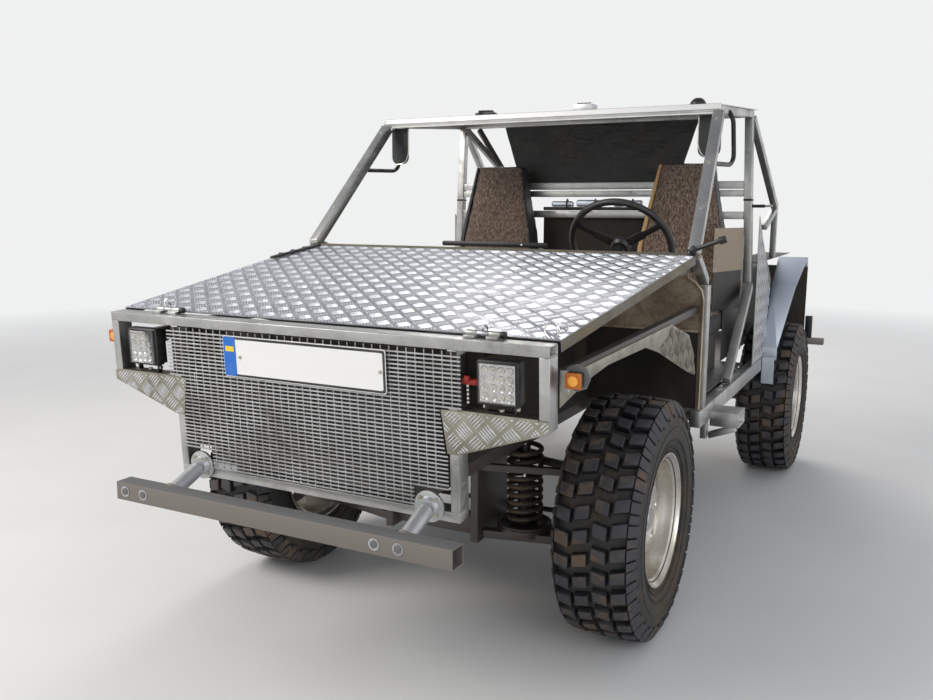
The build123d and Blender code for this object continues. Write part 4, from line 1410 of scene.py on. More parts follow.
@dataclass
class Lamps:
    """Square front lamps of sixteen diodes, turn lamps and rear lamps.

    Attributes:
        x: Distance of a front lamp from the middle line.
        low: Height of its lower edge.
        size: Its side.
    """

    x: float = 566.0
    low: float = 874.0
    size: float = 108.0

    def build(self) -> None:
        """Builds all lamps of the vehicle."""
        form = Form()
        for side in Side:
            self._front(form, side)
            self._turn(form, side)
            self._rear(form, side)
        form.finish("lamp_set", "lamp_black", ("lights",))

    def _front(self, form: Form, side: Side) -> None:
        """One front lamp with its housing, sixteen reflectors, lens and bracket.

        Args:
            form: The piece being shaped.
            side: Which lamp it is.
        """
        x, half = side.value * self.x, self.size / 2
        low, middle, high = self.low, self.low + half, self.low + self.size
        start = len(form.bm.verts)
        form.box((x - half, -8, low), (x + half, 22, high), BLACK, 6, 3)
        form.box((x - half + 8, -8.6, low + 8), (x + half - 8, -7.4, high - 8), CHROME, 3, 2)
        pitch = (self.size - 24) / 4
        bowl = [(4.2, 0.0), (4.2, 9.6), (-1.2, 9.6), (-1.0, 8.6), (2.6, 4.2), (2.9, 3.4), (2.0, 0.0)]
        for row in range(4):
            for column in range(4):
                cx = x + (column - 1.5) * pitch
                cz = middle + (row - 1.5) * pitch
                form.lathe(bowl, (cx, -8.8, cz), CHROME, 14, Y_AXIS, False)
                form.rod((cx, -8.9, cz), (cx, -10.4, cz), 3.3, GLOW, 10, tip=1.6)
        form.box((x - half + 6, -12.2, low + 6), (x + half - 6, -10.8, high - 6), CLEAR, 3, 2)
        for z0, z1 in ((low + 4, low + 8), (high - 8, high - 4)):
            form.box((x - half + 4, -12.4, z0), (x + half - 4, -7, z1), BLACK, 1.5, 2)
        for x0, x1 in ((x - half + 4, x - half + 8), (x + half - 8, x + half - 4)):
            form.box((x0, -12.4, low + 4), (x1, -7, high - 4), BLACK, 1.5, 2)
        for k in range(9):
            fin = x - 48 + 12 * k
            form.box((fin - 2, 21, low + 4), (fin + 2, 34, high - 4), BLACK, 0.8)
        form.box((x - 40, 6, 852.4), (x + 40, 22, 856.6), BLACK, 1)
        for s in (-1, 1):
            form.box((x + s * 38 - 2, 6, 853), (x + s * 38 + 2, 22, 875), BLACK, 1)
            form.rod((x + s * 40, 14, 866), (x + s * 46, 14, 866), 5.5, BRASSY, 6)
        form.rod((x, 14, 856), (x, 14, 862), 6.5, BRASSY, 6)
        form.bm.verts.ensure_lookup_table()
        bmesh.ops.transform(form.bm, matrix=LEAN, verts=form.bm.verts[start:])

    def _turn(self, form: Form, side: Side) -> None:
        """One amber turn lamp on its bracket, with the red clip beside the left lamp.

        Args:
            form: The piece being shaped.
            side: Which lamp it is.
        """
        s = side.value
        form.box((s * 713, 34, 921), (s * 753, 42, 959), AMBER, 5, 3, LEAN)
        form.box((s * 714, 41, 922), (s * 752, 60, 958), BLACK, 3, 2, LEAN)
        form.box((s * 693, 58, 905), (s * 716, 61, 958), TUBE, 1, 1, LEAN)
        form.box((s * 700, 60, 918), (s * 750, 74, 957), TUBE, 4, 2, LEAN)
        form.rod((s * 733, 34.5, 940), (s * 733, 32.5, 940), 13, BULB, 20, 0, 9, LEAN)
        form.rod((s * 733, 62, 942), (s * 733, 65, 942), 33, IRON, 8, 0.6, turn=LEAN)
        if side is Side.LEFT:
            form.box((462, 14, 912), (503, 34, 926), RED, 3, 2, LEAN)
            form.box((470, 8, 922), (484, 16, 935), RED, 2, 2, LEAN)
            for k in range(5):
                form.box((474, 16, 866 + 10 * k), (479, 19, 872 + 10 * k), WHITE, turn=LEAN)

    def _rear(self, form: Form, side: Side) -> None:
        """One rear lamp on the rear bumper.

        Args:
            form: The piece being shaped.
            side: Which lamp it is.
        """
        s = side.value
        form.box((s * 851, 3302, 626), (s * 887, 3328, 745), BLACK, 4, 2)
        form.box((s * 854, 3325, 632), (s * 884, 3335, 690), TAIL)
        form.box((s * 854, 3325, 694), (s * 884, 3335, 739), AMBER)


@dataclass
class Bumper:
    """The bumper tube, its bolts, and its two pipes with bolted flanges.

    Attributes:
        half: Half the tube's length.
        pipe: Distance of a pipe from the middle line.
        flange: Height of the flanges' middle.
        ring: Radius to a flange's bolts.
    """

    half: float = 530.0
    pipe: float = 374.0
    flange: float = 598.0
    ring: float = 31.0

    def build(self) -> None:
        """Builds the tube, pipes, flanges and bolts."""
        form = Form()
        form.open_tube((-self.half, -153, 522), (self.half, -100, 573), STEEL)
        # The top faces are repainted lighter as a painted highlight along the bumper's upper edge.
        form.repaint(IRON, lambda x, y, z, n: n.z > 0.8 and z > 565)
        for s in (-1, 1):
            x, z = s * self.pipe, self.flange
            form.rod((x, -2, 592), (x, -98, 552), 21, PIPE, 28)
            form.rod((x, -110, 547), (x, -95, 553), 24, STEEL, 24, tip=27)
            form.rod((x, -9.5, z), (x, -0.4, z), 41, PIPE, 32, 1.5, turn=LEAN)
            form.rod((x, -22, z + 1), (x, -9.5, z), 23.5, PIPE, 28, 0, 28, LEAN)
            for k in range(4):
                turn = math.radians(45 + 90 * k)
                bx, bz = x + self.ring * math.cos(turn), z + self.ring * math.sin(turn)
                form.rod((bx, -15, bz), (bx, -9, bz), 6, BRASSY, 6, turn=LEAN)
        for x in (-497, -430, 322, 388):
            form.rod((x, -156.9, 549), (x, -152.5, 549), 11, IRON, 6, 1)
            form.rod((x, -154.6, 549), (x, -152.5, 549), 15, PIPE, 20)
        form.finish("bumper_bar", "bumper_steel", ("bumper",))


@dataclass
class Suspension:
    """Front coil springs with shock absorbers, arms and knuckles, and the rear axle with its links.

    Attributes:
        turns: Turns of a front coil.
        wire: Radius of the spring wire.
        reach: Outer radius of a front coil.
    """

    turns: float = 9.5
    wire: float = 8.4
    reach: float = 62.0

    def build(self) -> None:
        """Builds the front springs, and dresses the arms, knuckles, rear axle and links."""
        springs, shocks, arms = Form(), Form(), Form()
        arms.add_node("front_arms", BLACK_STEEL, 3)
        seat = [(0, 62), (0, 88), (10, 91), (10, 86), (4, 84), (4, 62)]
        for side in Side:
            x, y = side.value * SPRING_X, FRONT_AXLE
            springs.sweep_ring(spot(x, y, 292), Vector(Z_AXIS), self.reach - self.wire, self.wire,
                               SPRING_STEEL, int(self.turns * 24), 10, 360 * self.turns, None, 262)
            shocks.rod((x, y, 284), (x, y, 430), 24, BLACK_STEEL, 24, 3)
            shocks.rod((x, y, 430), (x, y, 562), 9, CHROME, 16)
            shocks.rod((x, y, 470), (x, y, 556), 20, BLACK, 20, 2, 17)
            arms.lathe(seat, (x, y, 283), BLACK_STEEL, 36, Z_AXIS)
        springs.finish("front_coils", "chassis_black", ("front_springs",))
        shocks.finish("front_dampers", "chassis_black", ("front_shocks",))
        arms.finish("front_wishbones", "chassis_black", ("front_arms",))
        for side, body in ((Side.LEFT, Body.LEFT_KNUCKLE), (Side.RIGHT, Body.RIGHT_KNUCKLE)):
            node = f"knuckle_{side.name.lower()}"
            form = Form()
            form.add_node(node, BLACK_STEEL, 3)
            x0, x1 = side.value * 574, side.value * 588
            form.lathe([(x0, 30), (x0, 105), (x1, 105), (x1, 30)], (0, FRONT_AXLE, WHEEL_RADIUS), IRON)
            form.finish(f"{node}_dressed", "chassis_black", (node,), body)
        rear = Form()
        rear.add_node("rear_axle", BLACK_STEEL, 5)
        for s in (-1, 1):
            x0, x1 = s * 690, s * 712
            rear.lathe([(x0, 30), (x0, 118), (x1, 118), (x1, 30)], (0, REAR_AXLE, WHEEL_RADIUS), IRON)
        rear.lathe([(-34, 0), (-34, 96), (-8, 112), (0, 112), (0, 0)], (0, 3002, WHEEL_RADIUS), BLACK_STEEL,
                   36, (0, -1, 0), False)
        rear.finish("rear_axle_dressed", "chassis_black", ("rear_axle",))
        dress("rear_suspension", "rear_links", BLACK_STEEL, "chassis_black", 3)


@dataclass
class Tyre:
    """A coarse mud tyre: carcass, four columns of lugs and shoulder ribs.

    Attributes:
        radius: Radius to the lugs' tips.
        rows: Rows of lugs.
        columns: Place, half width and stagger of each column of lugs.
        lug: Half the length of a lug, in degrees around the tyre.
        template: The tyre about its own axle, once it is made.
    """

    radius: float = WHEEL_RADIUS
    rows: int = 34
    columns: tuple[tuple[float, float, float], ...] = (
        (-83.0, 24.5, 0.0), (-28.0, 24.0, 0.16), (28.0, 24.0, 0.5), (83.0, 24.5, 0.66))
    lug: float = 3.4
    template: bpy.types.Mesh | None = None

    def _round(self, place: float, r: float, degrees: float) -> Vector:
        """A point of a tyre whose axle is at the frame's origin.

        Args:
            place: Its place across the tread.
            r: Its radius.
            degrees: Its angle around the axle.

        Returns:
            The point in metres.
        """
        turn = math.radians(degrees)
        return Vector((mm(place), mm(r * math.sin(turn)), mm(r * math.cos(turn))))

    def _carcass(self, form: Form) -> None:
        """The tyre's body, sidewalls and beads, as one turned ring.

        Args:
            form: The piece being shaped.
        """
        outer = [(-103, 212), (-112, 222), (-121, 240), (-127, 268), (-127.5, 298), (-122, 322),
                 (-113, 340), (-102, 349), (-70, 353.5), (0, 355.5)]
        profile = outer + [(-a, r) for a, r in reversed(outer[:-1])] + [(100, 190.4), (-100, 190.4)]
        centre = (0, MIDDLE_Y, 0)
        form.lathe(profile, centre, TYRE_SIDE, 96)
        for side in (-1, 1):
            for radius, out in ((226, 117.0), (247, 123.8), (252, 124.8), (290, 127.6)):
                foot, top = side * (out - 3), side * (out + 1.6)
                form.lathe([(foot, radius - 2), (top, radius - 1), (top, radius + 1), (foot, radius + 2)],
                           centre, TYRE_SIDE, 96)

    def _block(self, form: Form, corner: Callable[[int, int, int], Vector], bevel: float) -> None:
        """A block of tread whose eight corners come from a function, with a top lighter from dust and a
        painted sheen.

        Args:
            form: The piece being shaped.
            corner: Function of u, v and w, each -1 or 1, that gives a corner.
            bevel: Width of its rounded edges.
        """
        verts = bmesh.ops.create_cube(form.bm, size=2)["verts"]
        faces = form._faces_of(verts)
        top = [f for f in faces if all(v.co.z > 0 for v in f.verts)]
        for vert in verts:
            vert.co = corner(*(1 if c > 0 else -1 for c in vert.co))
        bmesh.ops.recalc_face_normals(form.bm, faces=faces)
        form.paint(faces, TYRE)
        form.paint(top, TYRE_TOP)
        form.soften(verts, bevel)

    def _row(self, spread: float) -> bpy.types.Mesh:
        """One row of lugs with its shoulder ribs.

        Args:
            spread: Degrees that its lugs are longer or shorter by.

        Returns:
            The row as a mesh.
        """
        form = Form()
        form.finishes = [TYRE_SIDE, TYRE, TYRE_TOP]
        step = 360 / self.rows
        for place, half, stagger in self.columns:
            outside, edge = abs(place) > 50, 1 if place > 0 else -1
            tops = (375.4, 371.8) if outside else (self.radius - 0.2, 375.6)
            feet = (347, 342) if outside else (350, 350)
            wide, twist = self.lug + spread, edge * (1.5 if outside else -1.5)

            def corner(u: int, v: int, w: int) -> Vector:
                """A corner of the lug.

                Args:
                    u: Side across the tread.
                    v: Side around the tyre.
                    w: Foot or top.

                Returns:
                    The corner.
                """
                far = u * edge > 0
                draw = 0.84 if w > 0 else 1.0
                angle = stagger * step + wide * v * draw + twist * u * 0.5
                r = (tops if w > 0 else feet)[1 if far else 0]
                return self._round(place + half * u * draw, r, angle)

            self._block(form, corner, 1.8)
        for k in range(2):
            for side in (-1, 1):
                at = (0.68 + 0.5 * k - (0.18 if side < 0 else 0)) * step
                wide = 2.3 if k else 3.1
                far = (127.5, 336) if k else (129.5, 324)
                table = {(-1, 1): (108, 370), (1, 1): far, (-1, -1): (100, 343), (1, -1): (118, 318)}

                def rib(u: int, v: int, w: int) -> Vector:
                    """A corner of the rib that runs down the sidewall, by u, v and w as for a lug."""
                    place, r = table[(u, w)]
                    return self._round(side * place, r, at + wide * v * (0.84 if w > 0 else 1.0))

                self._block(form, rib, 1.6)
        return form.mesh("row")

    def build(self, name: str, x: float, y: float, turned: bool) -> None:
        """Builds one tyre.

        Args:
            name: Which wheel it is on.
            x: Its middle plane.
            y: Its axle.
            turned: Whether it is mounted the other way round.
        """
        finishes = (TYRE_SIDE, TYRE, TYRE_TOP)
        if self.template is None:
            whole = Form()
            self._carcass(whole)
            dice = random.Random(7)
            rows = [self._row(dice.uniform(-0.2, 0.2)) for _ in range(3)]
            for k in range(self.rows):
                around = Matrix.Rotation(-math.tau * k / self.rows, 4, "X")
                whole.stamp(rows[k % 3], [around], *finishes)
            self.template = whole.mesh("tyre")
        form = Form()
        place = Matrix.Translation(spot(x, y, self.radius))
        if turned:
            place = place @ Matrix.Rotation(math.pi, 4, "Z")
        form.stamp(self.template, [place], *finishes)
        form.finish(f"{name}_tyre", "tyre", (f"tyre_{name}",), f"{name}_wheel", 40)


@dataclass
class Wheel:
    """A silver steel wheel with a stepped lip, eight round holes and a chrome cap.

    Attributes:
        holes: Number of holes in its disc.
        ring: Radius to the holes' middle.
        hole: Radius of a hole.
        bolts: Number of wheel bolts.
        bolt_ring: Radius to the bolts.
    """

    holes: int = 8
    ring: float = 132.0
    hole: float = 20.0
    bolts: int = 5
    bolt_ring: float = 66.0

    def build(self, name: str, x: float, y: float, side: int) -> None:
        """Builds one wheel.

        Args:
            name: Which corner it is on.
            x: Its middle plane.
            y: Its axle.
            side: 1 on the left, -1 on the right.
        """
        form = Form()
        centre = (x, y, WHEEL_RADIUS)
        rim = [(112, 203), (112.5, 208), (109, 208.6), (105, 205), (102, 197), (98, 190), (60, 189.8),
               (-98, 189.8), (-102, 197), (-105, 205), (-109, 208.6), (-112.5, 208), (-112, 203),
               (-104, 197), (-98, 186), (-30, 183), (18, 178), (30, 174), (52, 176), (66, 181), (80, 183),
               (92, 184.5), (97, 190), (101, 194), (106, 199)]
        form.lathe([(side * a, r) for a, r in rim], centre, RIM, 96)
        self._disc(form, x, y, side)
        turned = (
            ([(36, 0), (38, 0), (32, 52), (26, 52)], RIM, 48),
            ([(42, 52), (44, 52), (38, 60), (32, 60)], RIM, 48),
            ([(30, 47), (62, 46), (68, 43), (70, 38), (70, 0), (30, 0)], CHROME, 48),
            ([(69, 30), (72, 29), (72.5, 0), (69, 0)], CHROME, 40),
        )
        for profile, finish, steps in turned:
            form.lathe([(side * a, r) for a, r in profile], centre, finish, steps)
        for k in range(self.bolts):
            turn = math.tau * k / self.bolts + math.radians(20)
            by, bz = y + self.bolt_ring * math.sin(turn), WHEEL_RADIUS + self.bolt_ring * math.cos(turn)
            form.rod((x + side * 28, by, bz), (x + side * 50, by, bz), 10.5, BRASSY, 6, 1.0, 9.5)
        form.finish(f"{name}_rim", "rim", (f"wheel_{name}",), f"{name}_wheel")

    def _disc(self, form: Form, x: float, y: float, side: int) -> None:
        """The dished disc, from one sector with a hole, turned round and made thick.

        Args:
            form: The piece being shaped.
            x: The wheel's middle plane.
            y: Its axle.
            side: 1 on the left, -1 on the right.
        """
        disc = Form()
        bm = disc.bm
        count = 16
        reach = 30.0
        half = math.pi / self.holes
        circle = bmesh.ops.create_circle(bm, cap_ends=False, segments=count, radius=self.hole)["verts"]
        bmesh.ops.translate(bm, vec=(0, self.ring, 0), verts=circle)
        outer = []
        for vert in circle:
            out = Vector((vert.co.x, vert.co.y - self.ring, 0)).normalized()
            out *= reach / max(abs(out.x), abs(out.y))
            angle = max(-half, min(half, out.x / reach * half))
            r = self.ring + max(-reach, min(reach, out.y))
            outer.append(bm.verts.new((r * math.sin(angle), r * math.cos(angle), 0)))
        for a, b in zip(range(count), [*range(1, count), 0]):
            bm.faces.new((circle[a], circle[b], outer[b], outer[a]))
        geometry = bm.verts[:] + bm.edges[:] + bm.faces[:]
        bmesh.ops.spin(bm, geom=geometry, cent=(0, 0, 0), axis=(0, 0, 1), angle=math.tau, steps=self.holes,
                       use_duplicate=True, use_merge=False)
        bmesh.ops.remove_doubles(bm, verts=bm.verts, dist=0.6)
        for out, radius in ((1, 176.0), (-1, 50.0)):
            rim = [e for e in bm.edges
                   if e.is_boundary and all(out * (v.co.length - self.ring) > 20 for v in e.verts)]
            made = bmesh.ops.extrude_edge_only(bm, edges=rim)["geom"]
            for vert in made:
                if isinstance(vert, bmesh.types.BMVert):
                    vert.co = vert.co.normalized() * radius
        for vert in bm.verts:
            r = vert.co.length
            dish = 27 + 28 * math.exp(-((r - 125) / 42) ** 2) - (8 if r > 170 else 0)
            vert.co = Vector((side * dish, vert.co.x, vert.co.y))
        bmesh.ops.recalc_face_normals(bm, faces=bm.faces)
        bmesh.ops.solidify(bm, geom=bm.faces[:], thickness=4.0)
        for vert in bm.verts:
            vert.co = spot(x + vert.co.x, y + vert.co.y, WHEEL_RADIUS + vert.co.z)
        bmesh.ops.recalc_face_normals(bm, faces=bm.faces)
        mesh = disc.mesh("disc")
        form.stamp(mesh, [Matrix.Identity(4)], RIM)
        bpy.data.meshes.remove(mesh)


@dataclass
class SteeringWheel:
    """The steering wheel: padded rim, three spokes and a boss.

    Attributes:
        hub: Its middle on the drawing.
        tilt: Degrees that it leans back.
        radius: Outer radius.
    """

    hub: tuple[float, float, float] = (390.0, 1440.0, 1185.0)
    tilt: float = 32.0
    radius: float = 205.0

    def build(self) -> None:
        """Builds the wheel on its own body."""
        form = Form()
        centre = spot(*self.hub)
        axis = Vector((0, math.cos(math.radians(self.tilt)), math.sin(math.radians(self.tilt))))
        form.sweep_ring(centre, axis, self.radius - 13.2, 13.0, WHEEL_SKIN, 72, 14)
        across = Vector(X_AXIS)
        plane = Matrix((across, axis.cross(across).normalized(), axis)).transposed().to_4x4()
        plane.translation = centre
        for angle in (90, 210, 330):
            turn = plane @ Matrix.Rotation(math.radians(angle), 4, "Z") @ TO_ORIGIN
            form.box((26, -17, -7), (110, 17, 3), WHEEL_SKIN, 4, 2, turn)
            form.box((100, -12, -6), (190, 12, 3), WHEEL_SKIN, 4, 2, turn)
            form.box((40, -6, 2.5), (150, 6, 4.5), BLACK, 1, 1, turn)
        form.lathe([(-22, 0), (-22, 30), (-10, 38), (6, 38), (13, 30), (14, 0)], self.hub, WHEEL_SKIN, 40,
                   tuple(axis), False)
        form.finish("steering_rim", "lamp_black", ("steering_wheel",), Body.STEERING)


@dataclass
class Seat:
    """A bucket seat: looped cloth front, vinyl side wings and cushion.

    Attributes:
        places: Place of each seat's middle across the vehicle.
        half: Half width at its hips.
        shoulder: Half width at its top.
        waist: Height up to which it keeps its full width.
        foot: Height of the back's foot.
        top: Height of the back's top.
        front: Place of the back's front face at its foot.
        lean: Degrees that the front face leans back.
        rear: Place of the back's rear face.
    """

    places: tuple[tuple[Side, float], ...] = ((Side.LEFT, 460.0), (Side.RIGHT, -437.0))
    half: float = 190.0
    shoulder: float = 114.0
    waist: float = 1160.0
    foot: float = 893.0
    top: float = 1527.0
    front: float = 2038.0
    lean: float = 6.0
    rear: float = 2190.0

    def _half_at(self, z: float) -> float:
        """Half the back's width at a height."""
        share = max(0.0, (z - self.waist) / (self.top - self.waist))
        return self.half + (self.shoulder - self.half) * share

    def _front_at(self, z: float) -> float:
        """Place of the back's front face at a height."""
        return self.front + (z - self.foot) * math.tan(math.radians(self.lean))

    def _puffed(self, form: Form, name: str, cap: float) -> bpy.types.Object:
        """Swells a plain block with cloth under pressure, and gives the result back.

        Args:
            form: The block.
            name: The piece's name.
            cap: How far a point may move, in millimetres.

        Returns:
            The padded piece.
        """
        obj = link(name, form.mesh(name))
        for finish in (CLOTH, VINYL):
            obj.data.materials.append(finish.material())
        remesh = obj.modifiers.new("voxels", "REMESH")
        remesh.mode = "VOXEL"
        remesh.voxel_size = 0.010
        bake_modifiers(obj)
        smooth_piece(obj, 3)
        swell(obj, mm(cap))
        return obj

    def build(self, side: Side) -> None:
        """Builds one seat.

        Args:
            side: Which seat it is.
        """
        x = dict(self.places)[side]
        node = f"seat_{side.name.lower()}"
        body = Form()
        body.column(self.foot, self.top, lambda z: (x - self._half_at(z), x + self._half_at(z),
                                                    self._front_at(z), self.rear), CLOTH)
        back_piece = self._puffed(body, f"{node}_back", 9)
        self._dress(back_piece, True)
        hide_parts(node)
        self._edging(node, x)
        cushion = Form()
        cushion.box((x - self.half + 2, 1598, 796), (x + self.half - 2, 2120, 884), CLOTH)
        cushion_piece = self._puffed(cushion, f"{node}_cushion", 11)
        self._dress(cushion_piece, False)

    def _edging(self, node: str, x: float) -> None:
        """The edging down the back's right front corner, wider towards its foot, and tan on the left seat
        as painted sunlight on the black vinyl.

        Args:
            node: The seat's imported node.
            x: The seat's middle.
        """
        form = Form()
        form.column(self.foot + 14, self.top - 12,
                    lambda z: (x - self._half_at(z) - 3, x - self._half_at(z) + 8 + (self.top - z) * 0.022,
                               self._front_at(z) - 7, self._front_at(z) + 14), SUNLIT_TAN if x > 0 else VINYL, 9)
        form.soften(list(form.bm.verts), 4, 2)
        form.finish(f"{node}_edging")

    def _dress(self, obj: bpy.types.Object, upright: bool) -> None:
        """Paints cloth on the faces that are sat against, and vinyl on the rest.

        Args:
            obj: The back or the cushion.
            upright: Whether it is the back.
        """
        for face in obj.data.polygons:
            normal = face.normal
            front = normal.y < -0.55 if upright else normal.z > 0.55
            face.material_index = 0 if front else 1
        obj.data.shade_smooth()
        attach(obj, Body.CHASSIS.value)
        LOG.info("%s: %d faces", obj.name, len(obj.data.polygons))


def bake_modifiers(obj: bpy.types.Object) -> None:
    """Applies an object's modifiers to its mesh.

    Args:
        obj: The object.
    """
    depsgraph = bpy.context.evaluated_depsgraph_get()
    made = bpy.data.meshes.new_from_object(obj.evaluated_get(depsgraph), preserve_all_data_layers=True,
                                           depsgraph=depsgraph)
    obj.modifiers.clear()
    old = obj.data
    name = old.name
    obj.data = made
    bpy.data.meshes.remove(old)
    made.name = name


def smooth_piece(obj: bpy.types.Object, rounds: int) -> None:
    """Smooths a mesh's vertices.

    Args:
        obj: The piece.
        rounds: How many times.
    """
    bm = bmesh.new()
    bm.from_mesh(obj.data)
    for _ in range(rounds):
        bmesh.ops.smooth_vert(bm, verts=bm.verts, factor=0.5, use_axis_x=True, use_axis_y=True,
                              use_axis_z=True)
    bm.to_mesh(obj.data)
    bm.free()


def swell(obj: bpy.types.Object, cap: float) -> None:
    """Swells a closed piece as a cushion, by cloth under pressure.

    Args:
        obj: The piece.
        cap: How far a point may move, in metres.
    """
    rest = [v.co.copy() for v in obj.data.vertices]
    cloth = obj.modifiers.new("cloth", "CLOTH")
    cloth.settings.use_pressure = True
    cloth.settings.uniform_pressure_force = 4.0
    cloth.settings.quality = 4
    cloth.settings.effector_weights.gravity = 0.0
    cloth.settings.tension_stiffness = 12
    cloth.settings.compression_stiffness = 12
    scene = bpy.context.scene
    for step in range(1, 15):
        scene.frame_set(step)
    bake_modifiers(obj)
    for vert, start in zip(obj.data.vertices, rest):
        move = vert.co - start
        if move.length > cap:
            vert.co = start + move * (cap / move.length)
    scene.frame_set(1)


@dataclass
class Cab:
    """The cage, the roof, its stays and what is fastened to them."""

    def build(self) -> None:
        """Builds the tubes, sheets and small parts of the cab."""
        table = (
            ("cab_frame", "cage_tubes", TUBE, "raw_aluminium", 1.6),
            ("rear_stays", "stay_tubes", TUBE, "raw_aluminium", 1.6),
            ("sills", "sill_tubes", TUBE, "raw_aluminium", 1.8),
            ("side_rails", "edge_rails", BLACK_STEEL, "chassis_black", 3),
            ("roof_panel", "roof_plate", ROOF_SHEET, "roof_sheet", 0.8),
            ("firewall", "cowl_panels", OLIVE, "olive_sheet", 1.0),
            ("floor", "floor_plate", FLOOR_SHEET, "floor_sheet", 0.8),
            ("rear_body", "tub_panels", FLOOR_SHEET, "floor_sheet", 0.6),
            ("rear_bumper", "rear_bar", STEEL, "bumper_steel", 3),
            ("chassis_rails", "rail_set", BLACK_STEEL, "chassis_black", 3),
            ("drive_train", "engine_blocks", IRON, "engine_iron", 8),
            ("seat_frames", "seat_rails", BLACK_STEEL, "chassis_black", 2),
            ("steering_column", "column_tube", BLACK, "lamp_black", 2),
            ("mirror_arm", "mirror_rod", BLACK, "lamp_black", 1.5),
        )
        for node, name, finish, slot, bevel in table:
            form = Form()
            form.add_node(node, finish, bevel)
            if node == "firewall":
                form.repaint(LINER_AND_SHADE, lambda x, y, z, n: abs(x) < 350 and y < 1224 and z < 965)
                form.repaint(TRAY, lambda x, y, z, n: 1205 < y < 1231 and z < 1111)
                form.box((348, 1222.6, 638), (742, 1225.2, 905), LINER_AND_SHADE)
                form.box((360, 1216, 905), (742, 1225, 914), TRAY, 1.5)
            if node == "rear_body":
                # The tub's rear wall and its top sheets are repainted near-black as painted shade.
                form.repaint(LINER_AND_SHADE, lambda x, y, z, n: y > 3270 or z > 1080)
            form.finish(name, slot, (node,))
        dress("track_rod", "track_rod_dressed", BLACK_STEEL, "chassis_black", 1.5, Body.TRACK_ROD)
        self._handles()
        self._roof_items()
        self._rear_bars()
        self._side_board()
        self._small_parts()

    def _handles(self) -> None:
        """A bent grab handle under each roof rail, and a small visor behind each pillar."""
        form = Form()
        for side in Side:
            s = side.value
            form.pipe([(s * 722, 1650, 1682), (s * 741, 1640, 1650), (s * 741, 1684, 1512),
                       (s * 738, 1640, 1486), (s * 729, 1390, 1480)], 8.5, BLACK)
            verts = form.box((s * 670 - 42, 1578, 1512), (s * 670 + 42, 1581, 1664), BLACK)
            low = [e for e in edges_of(verts) if runs_along(e, 1) and all(v.co.z < 1.52 for v in e.verts)]
            round_edges(form.bm, low, 30, 6, False)
            form.pipe([(s * 628, 1579.5, 1662), (s * 628, 1579.5, 1552), (s * 648, 1579.5, 1514),
                       (s * 690, 1579.5, 1511)], 2.6, RIM, 8, 20)
        form.finish("grab_handles")

    def _roof_items(self) -> None:
        """A chrome strip along the header's edge as a painted highlight, a clip, a small case and a round
        lamp on the roof.
        """
        form = Form()
        # The chrome strip along the header's lower edge is a painted highlight.
        form.box((-708, 1531, 1663), (708, 1536, 1670), CHROME, 1)
        form.box((-712, 1531.5, 1679), (716, 1560, 1700.5), ROOF_SHEET, 1.5)
        form.box((-288, 1548, 1700), (-200, 1580, 1712), BLACK, 4, 2)
        form.rod((-266, 1540, 1712), (-224, 1590, 1716), 8, BLACK, 12, 2)
        form.box((122, 1600, 1703), (206, 1660, 1732), PIPE, 6, 2)
        form.box((134, 1612, 1730), (192, 1648, 1737), BLACK, 3, 2)
        form.lathe([(0, 0), (0, 30), (10, 29), (20, 23), (27, 13), (30, 0)], (617, 1600, 1702), BLACK, 24,
                   Z_AXIS, False)
        form.box((580, 1590, 1700), (654, 1612, 1706), BLACK, 2)
        form.finish("roof_items")

    def _rear_bars(self) -> None:
        """Braces, a dark board behind the seats as painted shade, and wrapped bundles on the bars."""
        form = Form()
        form.rod((-676, 2222, 1706), (-424, 2222, 1446), 17, TUBE, 4, 1)
        form.rod((-610, 2228, 1706), (-440, 2228, 1450), 15, BLACK_STEEL, 4, 1)
        # The dark board behind the seats is painted shade under the bars.
        form.box((-262, 2243, 1088), (266, 2248, 1279), LINER_AND_SHADE, 1)
        form.box((-246, 2196, 1313), (262, 2211, 1329), BLACK, 3)
        for x0, x1, z1 in ((-196, -88, 1356), (-70, 44, 1362), (112, 158, 1354), (176, 246, 1360)):
            form.box((x0, 2172, 1330), (x1, 2208, z1), FENDER, 9, 3)
        for x in (-120, 20, 200):
            form.sweep_ring(spot(x, 2190, 1341), Vector((1, 0.2, 0)), 24, 3.2, BLACK, 20, 8)
        form.finish("rear_bar_items")

    def _side_board(self) -> None:
        """The brown board beside the left seat, with a black sheet below it as painted shade, and a pale
        strip.
        """
        form = Form()
        foot, end = spot(628, 1950, 1060), spot(700, 2180, 1060)
        plane = plate_frame(foot, end - foot, Vector(Z_AXIS)) @ TO_ORIGIN
        form.box((0, 0, -2.5), (241, 183, 2.5), BOARD, 1.2, 2, plane)
        # The black sheet below the board is painted shade on the seat's side.
        form.box((3, -165, -1.5), (236, 2, 1.5), BLACK, 0.8, 1, plane)
        for x, y in ((9, 174), (230, 172), (12, 8)):
            form.rod((x, y, 2), (x, y, 4.4), 4, BRASSY, 10, 0.6, turn=plane)
        form.box((664, 2205, 985), (700, 2208, 1209), PIPE, 0.8)
        form.box((668, 2203.5, 985), (698, 2206, 1012), AMBER, 0.8)
        form.finish("side_board")

